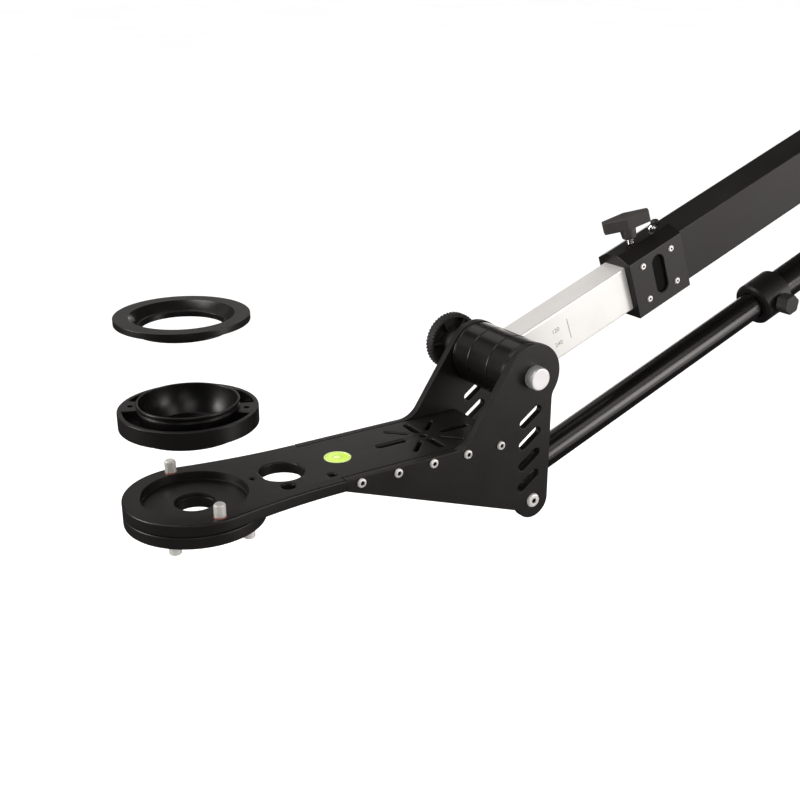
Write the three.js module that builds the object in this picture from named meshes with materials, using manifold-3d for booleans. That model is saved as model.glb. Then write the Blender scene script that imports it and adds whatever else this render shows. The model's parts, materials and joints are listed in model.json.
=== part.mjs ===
import * as THREE from 'three';
import { mergeVertices } from 'three/addons/utils/BufferGeometryUtils.js';
import Module from 'manifold-3d';

// A camera jib crane: a parallelogram arm that tilts and pans on a tripod and keeps its platform level.
// Millimetres, +Z up, +X to the rear, +Y to the far side. The origin is the centre of the tripod face.

// Driving dimensions of the arm
const boomPitchDeg = 20.5; // rest pitch of the arm, front end down
const fulcrumHeight = 330; // main axis above the tripod face
const reach = 1000; // main axis to the head pivot, along the boom
const travelIn = 140; // how far the arm telescopes in from rest
const linkDrop = 160.5; // boom pivot to rod pivot, downwards
const linkSetback = 6; // boom pivot to rod pivot, rearwards

// Running fits, seats and cuts
const seatGap = 0.3; // between pieces that touch
const runGap = 0.3; // radial clearance of shafts and screws in their holes
const slideGap = 0.4; // radial clearance of the telescoping rod
const pivotSlack = 1.2; // radial clearance at the rod's front pivot
const overrun = 3; // how far a cut passes the face that it opens

// Camera platform, measured from the centre of its round end on its top face
const platformR = 75;
const platformThick = 13.5;
const platformRear = 372.5;
const neckHalf = 60;
const neckFilletR = 660;
const neckStraight = 2;
const recessR = 56.3;
const recessDeep = 9.5;
const bowlBoltR = 21.5;
const pinR = 6.2;
const pinPitchR = 64.2;
const pinProud = 14.5;
const pinEdge = 1;
const pinSeatDeep = 12;
const discThick = 13;
const discEdge = 1;
const discScrewR = 4;
const discScrewHeadR = 6.5;
const discScrewHeadHigh = 8;
const discScrewPitchR = 67;
const discScrewBite = 10;
const discScrewFrontDeg = 48.5; // from the front, on both sides
const discScrewRearDeg = 60; // from the rear, on both sides
const windowX = 102.5;
const windowR = 25;
const windowFlat = 23.6;
const smallHoleX = 67;
const smallHoleR = 3;
const threadHoleX = 91;
const threadHoleR = 7.5;
const threadNotchR = 2;
const studHoleX = 144.5;
const studHoleR = 4.75;
const sideHoleY = -37.7;
const levelX = 173;
const levelR = 15.5;
const levelDeep = 9;
const levelProud = 0.6;
const levelEdge = 0.3;
const starX = 290;
const starArms = 8;
const starHoleR = 4;
const starWide = 8.5;
const starThin = 4.5;
const starLongReach = [24, 65];
const starShortReach = [11, 40];
const starDiagonalReach = [18, 48];

// Side plates that carry the platform from the head pivot
const headPivotX = 404;
const headPivotZ = 69.5;
const plateThick = 9;
const pivotLobeR = 39.5;
const boltLobeR = 23.5;
const inclineDeg = 55.7;
const undersideDeg = 20;
const inclineFilletR = 30;
const undersideFilletR = 12;
const rearFilletR = 20;
const slotStartX = 391.9;
const slotStartZ = 12.2;
const slotRun = 24.7;
const slotDeg = 35;
const slotWide = 10.8;
const slotPitch = 27.5;
const slotCount = 4;
const screwCount = 5;
const screwFirst = 18.3; // first side screw behind the plate's tip
const screwPitch = 47.5;
const screwR = 3;
const screwHeadR = 5.3;
const screwHeadHigh = 3;
const screwBite = 12;
const socketR = 2.3;
const socketDeep = 1.8;

// Head pivot
const barrelR = 38.5;
const knuckleHalf = 18.2;
const pivotPinR = 12;
const pivotThreadR = 8;
const pivotCapR = 14;
const pivotCapHigh = 12.7;
const pivotCapEdge = 1;
const tensionHubR = 17;
const tensionRimR = 36.5;
const tensionRimWide = 13;
const tensionRimStart = 98;
const tensionWall = 3.5;
const tensionRibWide = 4;
const tensionRibCount = 6;
const gripTeeth = 24;
const gripDeep = 1.2;
const lowerBoltR = 5;
const lowerBoltHeadR = 8.8;
const lowerBoltHeadHigh = 3.6;

// Boom tubes, collar and fulcrum
const innerHalfWide = 18;
const innerHalfHigh = 30;
const innerShort = 360; // inner tube's end to the main axis
const outerHalfWide = 24;
const outerHalfHigh = 36;
const tailLong = 500; // outer tube behind the main axis
const tubeWall = 3;
const tubeCornerR = 2.5;
const knuckleSpigotEnd = 110;
const plugSpigotLong = 40;
const plugFlange = 8;
const collarFront = 196;
const collarRear = 287;
const collarLip = 10;
const collarHalfWide = 28;
const collarTop = 35;
const collarRidge = 45;
const collarRidgeHalf = 10;
const collarUnder = 42;
const collarSlotX = 242;
const collarSlotHigh = 26;
const collarSlotLow = -27;
const collarSlotWide = 19;
const wingX = 229;
const wingStemR = 5;
const wingHubR = 10.6;
const wingSpan = 59;
const wingTipHalf = 4.2;
const wingMidHalf = 10.9;
const wingBarHigh = 16;
const wingBossHigh = 13.3;
const wingBossR = 9;
const wingClear = 8.5; // boss above the collar ridge
const wingTurnDeg = -30;
const stopScrewX = 267;
const stopScrewR = 3;
const stopScrewHeadR = 6;
const stopScrewHeadHigh = 6;
const stopScrewBite = 7;
const guideLong = 70;
const shaftR = 10;
const shaftHeadR = 17;
const shaftHeadHigh = 8;
const saddleHalfLong = 70;
const saddleHalfHigh = 30;
const saddleThick = 5;
const saddleBossR = 34;
const cheekInner = 34;
const cheekThick = 14;
const cheekTopR = 36;
const cheekFootHalf = 44;
const rodBoltR = 8;
const rodBoltHeadR = 13;
const rodBoltHeadHigh = 9;
const brakeKnobR = 30;
const brakeKnobHubR = 15;
const brakeKnobWide = 14;
const brakeKnobHub = 12;
const brakeLobes = 6;
const brakeLobeDeep = 5;

// Tripod end
const baseR = 62;
const baseHigh = 40;
const baseEdge = 2;
const spindleR = 20;
const turntableR = 66;
const turntableHigh = 18;
const spindleTopWall = 5;
const bushR = 4.9;
const bushWall = 6;
const bushHigh = 22;
const panKnobR = 12;
const panKnobLong = 24;
const panStemR = 5;
const panStemBite = 30;
const panKnobClear = 3;

// Lower rod
const rodR = 19;
const rodRearR = 22.5;
const rodWall = 2.4;
const rodRearLong = 525; // rear tube ahead of its pivot
const rodRearPlug = 55;
const rodFrontPlug = 42;
const frontEyeR = 20;
const rearEyeR = 26;
const clampR = 30;
const clampLong = 50;
const clampLip = 10;
const clampKnobR = 14;
const clampKnobLong = 18;
const clampStemR = 5;
const clampKnobClear = 2;

// Counterweights
const endBlockLong = 60;
const endPlugLong = 50;
const barR = 14;
const barEdge = 1.4;
const barLong = 360;
const weightR = 100;
const weightThick = 25;
const weightEdge = 2.5;
const weightOffset = 6; // disc to the end block
const barCollarR = 25;
const barCollarWide = 20;
const barCollarEdge = 1;
const barCollarGap = 0.7;

// Ball-head adapters, shown lifted off the platform
const bowlRimR = 71.4;
const bowlRimTop = 97.5;
const bowlRimHigh = 17.4;
const bowlRimWall = 5;
const bowlEdge = 1.2;
const bowlLipR = 52.5;
const bowlLipHigh = 7.6;
const bowlR = 50;
const bowlCupR = 49.2; // outside of the cup at the moat's floor
const bowlFloorThick = 3;
const bowlSpigotHigh = 8;
const moatDeep = 12;
const webDeg = -34;
const webWide = 24;
const webHoleR = 3;
const lipBand = 2;
const lipGroove = 1;
const ringTop = 195.6;
const ringR = 67.2;
const ringThick = 6.6;
const ringMouthR = 52;
const ringThroatR = 41.5;
const ringSpigotR = 48;
const ringSpigotHigh = 8.5;

const largeSides = 36;
const midSides = 24;
const smallSides = 14;
const screwSides = 8;
const headSides = 12;
const hexSides = 6;
const arcStepDeg = 12;
const slotStepDeg = 36;
const bowlSteps = 6;
const gripSteps = 4; // points along each tooth of a grip

const wasm = await Module();
wasm.setup();

const rad = THREE.MathUtils.degToRad;
const deg = THREE.MathUtils.radToDeg;
const point = (x, y) => new THREE.Vector2(x, y);

// A closed three.js geometry as a solid that can be joined and cut
function solidOf(geometry) {
  geometry.deleteAttribute('normal');
  geometry.deleteAttribute('uv');
  const merged = mergeVertices(geometry);
  const vertProperties = new Float32Array(merged.attributes.position.array);
  const triVerts = new Uint32Array(merged.index.array);
  return new wasm.Manifold(new wasm.Mesh({ numProp: 3, vertProperties, triVerts }));
}

function geometryOf(solid) {
  const mesh = solid.getMesh();
  const geometry = new THREE.BufferGeometry();
  geometry.setAttribute('position', new THREE.BufferAttribute(mesh.vertProperties, 3));
  geometry.setIndex(new THREE.BufferAttribute(mesh.triVerts, 1));
  geometry.computeVertexNormals();
  return geometry;
}

// Turns a shape made round the Y axis onto another axis, then moves it off the origin by its centre
function ontoAxis(geometry, axis, centre) {
  if (axis === 'x') geometry.rotateZ(-Math.PI / 2).translate(0, centre[0], centre[1]);
  if (axis === 'y') geometry.translate(centre[0], 0, centre[1]);
  if (axis === 'z') geometry.rotateX(Math.PI / 2).translate(centre[0], centre[1], 0);
  return geometry;
}

function cylinder(axis, radius, low, high, centre = [0, 0], sides = midSides) {
  const geometry = new THREE.CylinderGeometry(radius, radius, high - low, sides);
  geometry.translate(0, (low + high) / 2, 0);
  return solidOf(ontoAxis(geometry, axis, centre));
}

// A turned solid from its profile of [radius, height] pairs, listed from low to high
function turned(axis, profile, centre = [0, 0], sides = midSides) {
  const points = profile.map(([radius, height]) => point(radius, height));
  return solidOf(ontoAxis(new THREE.LatheGeometry(points, sides), axis, centre));
}

function turnedDisc(axis, radius, low, high, edge, centre = [0, 0], sides = midSides) {
  const profile = [
    [0, low],
    [radius - edge, low],
    [radius, low + edge],
    [radius, high - edge],
    [radius - edge, high],
    [0, high],
  ];
  return turned(axis, profile, centre, sides);
}

function box(xLow, xHigh, yLow, yHigh, zLow, zHigh) {
  const geometry = new THREE.BoxGeometry(xHigh - xLow, yHigh - yLow, zHigh - zLow);
  geometry.translate((xLow + xHigh) / 2, (yLow + yHigh) / 2, (zLow + zHigh) / 2);
  return solidOf(geometry);
}

// An outline drawn in XY for axis z, in XZ for axis y and in YZ for axis x, pulled from low to high
function prism(axis, outline, low, high) {
  const settings = { depth: high - low, bevelEnabled: false };
  const geometry = new THREE.ExtrudeGeometry(new THREE.Shape(outline), settings);
  if (axis === 'z') geometry.translate(0, 0, low);
  if (axis === 'y') geometry.rotateX(Math.PI / 2).translate(0, high, 0);
  if (axis === 'x') geometry.rotateX(Math.PI / 2).rotateZ(Math.PI / 2).translate(low, 0, 0);
  return solidOf(geometry);
}

function arc(centreX, centreY, radius, fromDeg, toDeg, stepDeg = arcStepDeg) {
  const steps = Math.max(1, Math.ceil(Math.abs(toDeg - fromDeg) / stepDeg));
  return Array.from({ length: steps + 1 }, (unused, step) => {
    const angle = rad(fromDeg + ((toDeg - fromDeg) * step) / steps);
    return point(centreX + radius * Math.cos(angle), centreY + radius * Math.sin(angle));
  });
}

function roundedRectangle(halfAcross, halfUp, cornerR) {
  const across = halfAcross - cornerR;
  const up = halfUp - cornerR;
  return [
    ...arc(across, up, cornerR, 0, 90, slotStepDeg),
    ...arc(-across, up, cornerR, 90, 180, slotStepDeg),
    ...arc(-across, -up, cornerR, 180, 270, slotStepDeg),
    ...arc(across, -up, cornerR, 270, 360, slotStepDeg),
  ];
}

// A slot with round ends, from one centre to another
function slotOutline(startX, startY, endX, endY, wide) {
  const heading = deg(Math.atan2(endY - startY, endX - startX));
  return [
    ...arc(endX, endY, wide / 2, heading - 90, heading + 90, slotStepDeg),
    ...arc(startX, startY, wide / 2, heading + 90, heading + 270, slotStepDeg),
  ];
}

function cut(solid, ...tools) {
  return tools.reduce((rest, tool) => rest.subtract(tool), solid);
}

function join(...solids) {
  return solids.reduce((whole, next) => whole.add(next));
}

function finish(color, roughness, metalness) {
  return new THREE.MeshStandardMaterial({ color, roughness, metalness });
}
const blackSatin = () => finish(0x2b2928, 0.42, 0.35);
const blackGloss = () => finish(0x171616, 0.2, 0.3);
const blackTurned = () => finish(0x1c1b1b, 0.32, 0.4);
const silverSatin = () => finish(0xdcdad6, 0.35, 0.85);
const brightSteel = () => finish(0xc9c8c6, 0.22, 1);
const brass = () => finish(0xb08d4a, 0.35, 0.9);
const blackPlastic = () => finish(0x1d1d1d, 0.6, 0);
const darkPlastic = () => finish(0x3a3837, 0.55, 0);
const levelGreen = () => finish(0xc9e86a, 0.25, 0);

function place(parent, name, solid, material) {
  const mesh = new THREE.Mesh(geometryOf(solid), material);
  mesh.name = name;
  parent.add(mesh);
}

const gussetOuter = neckHalf;
const gussetInner = gussetOuter - plateThick;
const platformHalf = gussetInner - seatGap;
const innerEnd = reach - innerShort;
const outerEnd = reach + tailLong;
const sides = [
  { name: 'near', sign: -1 },
  { name: 'far', sign: 1 },
];

// The span from one distance to another on the near or the far side, lowest first
function span(sign, from, to) {
  return sign > 0 ? [from, to] : [-to, -from];
}

// Where the neck's hollow edge leaves the round end and where it meets the straight neck
const neckCentreY = neckHalf + neckFilletR;
const neckCentreX = Math.sqrt((platformR + neckFilletR) ** 2 - neckCentreY ** 2);
const neckTouchDeg = deg(Math.atan2(neckCentreY, neckCentreX));
const gussetFront = neckCentreX + neckStraight;
const discScrewTurns = [
  discScrewRearDeg,
  180 - discScrewFrontDeg,
  180 + discScrewFrontDeg,
  -discScrewRearDeg,
];
const discScrewPlaces = discScrewTurns.map((turn) => [
  discScrewPitchR * Math.cos(rad(turn)),
  discScrewPitchR * Math.sin(rad(turn)),
]);
const sideScrewPlaces = Array.from({ length: screwCount }, (unused, index) => [
  gussetFront + screwFirst + screwPitch * index,
  -platformThick / 2,
]);

function platformOutline() {
  const rearwards = (outline) => outline.map(({ x, y }) => point(x, -y)).reverse();
  const farEdge = [
    point(platformRear, platformHalf),
    point(gussetFront, platformHalf),
    point(gussetFront, neckHalf),
    ...arc(neckCentreX, neckCentreY, neckFilletR, 270, 180 + neckTouchDeg),
  ];
  const roundEnd = arc(0, 0, platformR, neckTouchDeg, 360 - neckTouchDeg).slice(1, -1);
  return [...farEdge, ...roundEnd, ...rearwards(farEdge)];
}

function starSlots() {
  const slots = [];
  for (let arm = 0; arm < starArms; arm += 1) {
    const angle = (2 * Math.PI * arm) / starArms;
    const diagonal = arm % 2 === 1;
    const straightReach = arm % (starArms / 2) === 0 ? starLongReach : starShortReach;
    const [start, end] = diagonal ? starDiagonalReach : straightReach;
    const wide = diagonal ? starThin : starWide;
    const from = start + wide / 2;
    const to = end - wide / 2;
    const outline = slotOutline(
      starX + from * Math.cos(angle),
      from * Math.sin(angle),
      starX + to * Math.cos(angle),
      to * Math.sin(angle),
      wide,
    );
    slots.push(prism('z', outline, -platformThick - overrun, overrun));
  }
  return slots;
}

function platformSolid() {
  const through = [-platformThick - overrun, overrun];
  const windowCut = cylinder('z', windowR, ...through, [windowX, 0]).intersect(
    box(windowX - windowFlat, windowX + windowFlat, -platformR, platformR, ...through),
  );
  const blank = prism('z', platformOutline(), -platformThick, 0);
  const plate = cut(
    blank,
    cylinder('z', recessR, -recessDeep, overrun, [0, 0], largeSides),
    cylinder('z', bowlBoltR, ...through),
    windowCut,
    cylinder('z', smallHoleR, ...through, [smallHoleX, 0], screwSides),
    cylinder('z', threadHoleR, ...through, [threadHoleX, sideHoleY], smallSides),
    cylinder('z', threadNotchR, ...through, [threadHoleX + threadHoleR, sideHoleY], screwSides),
    cylinder('z', studHoleR, ...through, [studHoleX, sideHoleY], smallSides),
    cylinder('z', levelR + runGap, -levelDeep, overrun, [levelX, 0]),
    cylinder('z', starHoleR, ...through, [starX, 0], screwSides),
    ...starSlots(),
    ...discScrewPlaces.map((centre) =>
      cylinder('z', discScrewR + runGap, through[0], discScrewBite - platformThick, centre, screwSides),
    ),
  );
  const sideHoles = sides.flatMap(({ sign }) => [
    cylinder('z', pinR + runGap, -pinSeatDeep, overrun, [0, sign * pinPitchR], smallSides),
    ...sideScrewPlaces.map((centre) =>
      cylinder('y', screwR + runGap, ...span(sign, platformHalf - screwBite, neckHalf), centre, screwSides),
    ),
  ]);
  return cut(plate, ...sideHoles);
}

function baseDiscSolid() {
  const top = -platformThick - seatGap;
  const disc = turnedDisc('z', platformR, top - discThick, top, discEdge, [0, 0], largeSides);
  const through = [top - discThick - overrun, top + overrun];
  const screwHoles = discScrewPlaces.map((centre) =>
    cylinder('z', discScrewR + runGap, ...through, centre, screwSides),
  );
  return cut(disc, cylinder('z', bowlBoltR, ...through), ...screwHoles);
}

// A socket screw or bolt: a shank, a head and a hexagon recess, with its tip first and its head last
function socketScrew(axis, shankR, tip, seat, headR, headHigh, centre) {
  const out = Math.sign(seat - tip);
  const headEnd = seat + out * headHigh;
  const floor = headEnd - out * socketDeep * (headR / screwHeadR);
  const hexagonR = socketR * (headR / screwHeadR);
  const ordered = (from, to) => (from < to ? [from, to] : [to, from]);
  return cut(
    join(
      cylinder(axis, shankR, ...ordered(tip, seat + (out * headHigh) / 2), centre, screwSides),
      cylinder(axis, headR, ...ordered(seat, headEnd), centre, headSides),
    ),
    cylinder(axis, hexagonR, ...ordered(floor, headEnd + out * overrun), centre, hexSides),
  );
}

// The side plate in XZ: underside, bolt lobe, rear edge, pivot lobe, incline and top edge
const boltX = headPivotX + linkSetback;
const boltZ = headPivotZ - linkDrop;
const plateRear = boltX + boltLobeR;

function plateOutline() {
  const underside = rad(undersideDeg);
  const along = point(Math.cos(underside), -Math.sin(underside));
  const outwards = point(-Math.sin(underside), -Math.cos(underside));
  const tip = point(gussetFront + seatGap, -platformThick);
  const bolt = point(boltX, boltZ);
  const pivot = point(headPivotX, headPivotZ);

  const depth = bolt.clone().sub(tip).dot(outwards);
  const reachBack = Math.sqrt((boltLobeR + undersideFilletR) ** 2 - (undersideFilletR - depth) ** 2);
  const run = bolt.clone().sub(tip).dot(along) - reachBack;
  const lowFillet = tip.clone().addScaledVector(along, run).addScaledVector(outwards, undersideFilletR);
  const toBoltDeg = deg(bolt.clone().sub(lowFillet).angle());

  const rise = Math.sqrt((pivotLobeR + rearFilletR) ** 2 - (plateRear + rearFilletR - pivot.x) ** 2);
  const rearFillet = point(plateRear + rearFilletR, pivot.y - rise);
  const toPivotDeg = deg(pivot.clone().sub(rearFillet).angle());

  const incline = rad(inclineDeg);
  const touchX = pivot.x - pivotLobeR * Math.sin(incline);
  const touchZ = pivot.y + pivotLobeR * Math.cos(incline);
  const footX = touchX - touchZ / Math.tan(incline);
  const topFillet = point(footX - inclineFilletR * Math.tan(incline / 2), inclineFilletR);

  return [
    tip,
    ...arc(lowFillet.x, lowFillet.y, undersideFilletR, 90 - undersideDeg, toBoltDeg),
    ...arc(bolt.x, bolt.y, boltLobeR, toBoltDeg + 180, 360).slice(1),
    ...arc(rearFillet.x, rearFillet.y, rearFilletR, 180, toPivotDeg),
    ...arc(pivot.x, pivot.y, pivotLobeR, toPivotDeg - 180, 90 + inclineDeg).slice(1),
    ...arc(topFillet.x, topFillet.y, inclineFilletR, inclineDeg - 90, -90),
    point(tip.x, 0),
  ];
}

function gussetSolid(sign) {
  const through = span(sign, gussetInner - overrun, gussetOuter + overrun);
  const angle = rad(slotDeg);
  const slots = Array.from({ length: slotCount }, (unused, index) => {
    const startZ = slotStartZ - slotPitch * index;
    const endX = slotStartX + slotRun * Math.cos(angle);
    const endZ = startZ + slotRun * Math.sin(angle);
    return prism('y', slotOutline(slotStartX, startZ, endX, endZ, slotWide), ...through);
  });
  return cut(
    prism('y', plateOutline(), ...span(sign, gussetInner, gussetOuter)),
    cylinder('y', pivotPinR + runGap, ...through, [headPivotX, headPivotZ]),
    cylinder('y', lowerBoltR + runGap, ...through, [boltX, boltZ], smallSides),
    ...slots,
    ...sideScrewPlaces.map((centre) => cylinder('y', screwR + runGap, ...through, centre, screwSides)),
  );
}

function sleeveSolid(sign) {
  const place = [headPivotX, headPivotZ];
  const length = span(sign, knuckleHalf + seatGap, gussetInner - seatGap);
  const ring = cylinder('y', barrelR, ...length, place, largeSides);
  return cut(ring, cylinder('y', pivotPinR + runGap, ...span(sign, 0, gussetOuter), place));
}

function headPivotPinSolid() {
  const place = [headPivotX, headPivotZ];
  const capSeat = -gussetOuter - seatGap;
  const cap = turnedDisc('y', pivotCapR, capSeat - pivotCapHigh, capSeat, pivotCapEdge, place);
  const shank = cylinder('y', pivotPinR, capSeat - seatGap, gussetOuter, place);
  const thread = cylinder('y', pivotThreadR, gussetOuter - overrun, tensionRimStart, place, smallSides);
  return join(cap, shank, thread);
}

// A round grip outline with shallow flutes
function gripOutline(radius, teeth, deep, centre) {
  const steps = teeth * gripSteps;
  return Array.from({ length: steps }, (unused, step) => {
    const angle = (2 * Math.PI * step) / steps;
    const gripR = radius - (deep * (1 - Math.cos(angle * teeth))) / 2;
    return point(centre[0] + gripR * Math.cos(angle), centre[1] + gripR * Math.sin(angle));
  });
}

function tensionKnobSolid() {
  const place = [headPivotX, headPivotZ];
  const rimEnd = tensionRimStart + tensionRimWide;
  const rim = prism('y', gripOutline(tensionRimR, gripTeeth, gripDeep, place), tensionRimStart, rimEnd);
  const hollowSpan = [tensionRimStart - overrun, rimEnd - tensionWall];
  const hollow = cylinder('y', tensionRimR - tensionWall, ...hollowSpan, place);
  const hub = cylinder('y', tensionHubR, gussetOuter + seatGap, rimEnd - tensionWall / 2, place);
  const ribs = Array.from({ length: tensionRibCount }, (unused, index) => {
    const start = tensionHubR - tensionWall;
    const end = tensionRimR - tensionWall / 2;
    const rib = new THREE.BoxGeometry(end - start, tensionRimWide - tensionWall, tensionRibWide);
    rib.translate((start + end) / 2, 0, 0);
    rib.rotateY((2 * Math.PI * index) / tensionRibCount);
    rib.translate(place[0], tensionRimStart + tensionRimWide / 2, place[1]);
    return solidOf(rib);
  });
  const boreSpan = [gussetOuter - overrun, tensionRimStart + seatGap];
  const bore = cylinder('y', pivotThreadR + runGap, ...boreSpan, place, smallSides);
  return cut(join(cut(rim, hollow), hub, ...ribs), bore);
}

function levelVialSolid() {
  const floor = -levelDeep + seatGap;
  return turned('z', [
    [0, floor],
    [levelR, floor],
    [levelR, levelProud - levelEdge],
    [levelR - levelEdge, levelProud],
    [0, levelProud],
  ], [levelX, 0]);
}

function lowerBoltSolid() {
  const place = [boltX, boltZ];
  const seat = gussetOuter + seatGap;
  const bolt = socketScrew('y', lowerBoltR, gussetOuter, -seat, lowerBoltHeadR, lowerBoltHeadHigh, place);
  const tail = cylinder('y', lowerBoltR, 0, seat + lowerBoltHeadHigh, place, screwSides);
  const nut = cylinder('y', lowerBoltHeadR, seat, seat + lowerBoltHeadHigh, place, hexSides);
  return join(bolt, tail, nut);
}

function addHead(parent) {
  const head = new THREE.Group();
  const pitch = rad(boomPitchDeg);
  const pivotZ = fulcrumHeight - reach * Math.sin(pitch);
  head.position.set(-reach * Math.cos(pitch) - headPivotX, 0, pivotZ - headPivotZ);
  parent.add(head);

  place(head, 'platform', platformSolid(), blackSatin());
  place(head, 'base_disc', baseDiscSolid(), blackSatin());
  place(head, 'level_vial', levelVialSolid(), levelGreen());
  const discScrewTip = discScrewBite - platformThick - seatGap;
  const discScrewSeat = -platformThick - discThick - 2 * seatGap;
  const discScrewSpan = [discScrewTip, discScrewSeat];
  discScrewPlaces.forEach((centre, index) => {
    const screw = socketScrew('z', discScrewR, ...discScrewSpan, discScrewHeadR, discScrewHeadHigh, centre);
    place(head, `disc_screw_${index + 1}`, screw, brightSteel());
  });
  for (const { name, sign } of sides) {
    const pin = turned('z', [
      [0, seatGap - pinSeatDeep],
      [pinR, seatGap - pinSeatDeep],
      [pinR, pinProud - pinEdge],
      [pinR - pinEdge, pinProud],
      [0, pinProud],
    ], [0, sign * pinPitchR], smallSides);
    place(head, `locating_pin_${name}`, pin, brightSteel());
    place(head, `gusset_${name}`, gussetSolid(sign), blackSatin());
    place(head, `barrel_sleeve_${name}`, sleeveSolid(sign), blackSatin());
    sideScrewPlaces.forEach((centre, index) => {
      const tip = sign * (platformHalf - screwBite + seatGap);
      const seat = sign * (gussetOuter + seatGap);
      const screw = socketScrew('y', screwR, tip, seat, screwHeadR, screwHeadHigh, centre);
      place(head, `gusset_${name}_screw_${index + 1}`, screw, brightSteel());
    });
  }
  place(head, 'head_pivot_pin', headPivotPinSolid(), brightSteel());
  place(head, 'head_tension_knob', tensionKnobSolid(), blackPlastic());
  place(head, 'lower_bolt', lowerBoltSolid(), brightSteel());
  place(head, 'adapter_100', bowlAdapterSolid(), blackTurned());
  place(head, 'adapter_75', ringAdapterSolid(), blackTurned());
}

function bowlAdapterSolid() {
  const rimBottom = bowlRimTop - bowlRimHigh;
  const lipTop = bowlRimTop + bowlLipHigh;
  const spigotR = recessR - runGap;
  const outside = [
    [0, rimBottom - bowlSpigotHigh],
    [spigotR - bowlEdge, rimBottom - bowlSpigotHigh],
    [spigotR, rimBottom - bowlSpigotHigh + bowlEdge],
    [spigotR, rimBottom],
    [bowlRimR - bowlEdge, rimBottom],
    [bowlRimR, rimBottom + bowlEdge],
    [bowlRimR, bowlRimTop - bowlEdge],
    [bowlRimR - bowlEdge, bowlRimTop],
    [bowlLipR - lipGroove, bowlRimTop],
    [bowlLipR - lipGroove, lipTop - lipBand],
    [bowlLipR, lipTop - lipBand],
    [bowlLipR, lipTop],
    [0, lipTop],
  ];
  const blank = turned('z', outside, [0, 0], largeSides);

  const bowlProfile = Array.from({ length: bowlSteps + 1 }, (unused, step) => {
    const angle = rad(-90 + (90 * step) / bowlSteps);
    return [bowlR * Math.cos(angle), lipTop + bowlR * Math.sin(angle)];
  });
  bowlProfile[0][0] = 0;
  bowlProfile.push([bowlR, lipTop + overrun], [0, lipTop + overrun]);
  const spigotBottom = rimBottom - bowlSpigotHigh;
  const bowlFloor = cylinder('z', bowlR, spigotBottom, spigotBottom + bowlFloorThick, [0, 0], midSides);
  const bowl = cut(turned('z', bowlProfile, [0, 0], largeSides), bowlFloor);
  const throat = cylinder('z', bowlBoltR, spigotBottom - overrun, lipTop, [0, 0], midSides);
  const moatR = bowlRimR - bowlRimWall;
  const moatFloor = bowlRimTop - moatDeep;
  const moatOuter = cylinder('z', moatR, moatFloor, bowlRimTop + seatGap, [0, 0], largeSides);
  const moatInner = turned('z', [
    [0, moatFloor - overrun],
    [bowlCupR, moatFloor - overrun],
    [bowlCupR, moatFloor],
    [bowlLipR - lipGroove, bowlRimTop],
    [bowlLipR, bowlRimTop + overrun],
    [0, bowlRimTop + overrun],
  ], [0, 0], largeSides);
  const web = new THREE.BoxGeometry(2 * bowlRimR, webWide, 2 * bowlRimHigh);
  const webs = solidOf(web.rotateZ(rad(webDeg)).translate(0, 0, bowlRimTop));
  const webHoleAt = (moatR + bowlLipR) / 2;
  const webHoles = sides.map(({ sign }) => {
    const centre = [sign * webHoleAt * Math.cos(rad(webDeg)), sign * webHoleAt * Math.sin(rad(webDeg))];
    return cylinder('z', webHoleR, rimBottom - overrun, bowlRimTop + overrun, centre, screwSides);
  });
  const pinHoles = sides.map(({ sign }) => {
    const top = rimBottom + pinProud + seatGap;
    return cylinder('z', pinR + runGap, rimBottom - overrun, top, [0, sign * pinPitchR], smallSides);
  });
  return cut(blank, bowl, throat, cut(moatOuter, moatInner, webs), ...webHoles, ...pinHoles);
}

function ringAdapterSolid() {
  const rimBottom = ringTop - ringThick;
  const floor = rimBottom - ringSpigotHigh;
  return turned('z', [
    [ringThroatR, floor],
    [ringSpigotR, floor],
    [ringSpigotR, rimBottom],
    [ringR, rimBottom],
    [ringR, ringTop],
    [ringMouthR, ringTop],
    [ringThroatR, floor],
  ], [0, 0], largeSides);
}

// Along the boom: X runs from the head pivot up to the rear, Z square to it
function tubeSolid(halfWide, halfHigh, from, to) {
  const insideWide = halfWide - tubeWall;
  const insideHigh = halfHigh - tubeWall;
  return cut(
    prism('x', roundedRectangle(halfWide, halfHigh, tubeCornerR), from, to),
    box(from - overrun, to + overrun, -insideWide, insideWide, -insideHigh, insideHigh),
  );
}

function knuckleSolid() {
  const halfWide = innerHalfWide - tubeWall - seatGap;
  const halfHigh = innerHalfHigh - tubeWall - seatGap;
  return cut(
    join(
      cylinder('y', barrelR, -knuckleHalf, knuckleHalf, [0, 0], largeSides),
      box(barrelR / 2, knuckleSpigotEnd, -halfWide, halfWide, -halfHigh, halfHigh),
    ),
    cylinder('y', pivotPinR + runGap, -knuckleHalf - overrun, knuckleHalf + overrun),
  );
}

function innerTubeSolid() {
  const tube = tubeSolid(innerHalfWide, innerHalfHigh, 0, innerEnd);
  return cut(tube, cylinder('y', barrelR + seatGap, -barrelR, barrelR, [0, 0], largeSides));
}

function innerPlugSolid() {
  const spigotWide = innerHalfWide - tubeWall - seatGap;
  const spigotHigh = innerHalfHigh - tubeWall - seatGap;
  const flangeWide = outerHalfWide - tubeWall - runGap;
  const flangeHigh = outerHalfHigh - tubeWall - runGap;
  const seat = innerEnd + seatGap;
  return join(
    box(seat - plugSpigotLong, seat + plugFlange / 2, -spigotWide, spigotWide, -spigotHigh, spigotHigh),
    box(seat, seat + plugFlange, -flangeWide, flangeWide, -flangeHigh, flangeHigh),
  );
}

const outerStart = collarFront + collarLip + seatGap;

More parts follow.
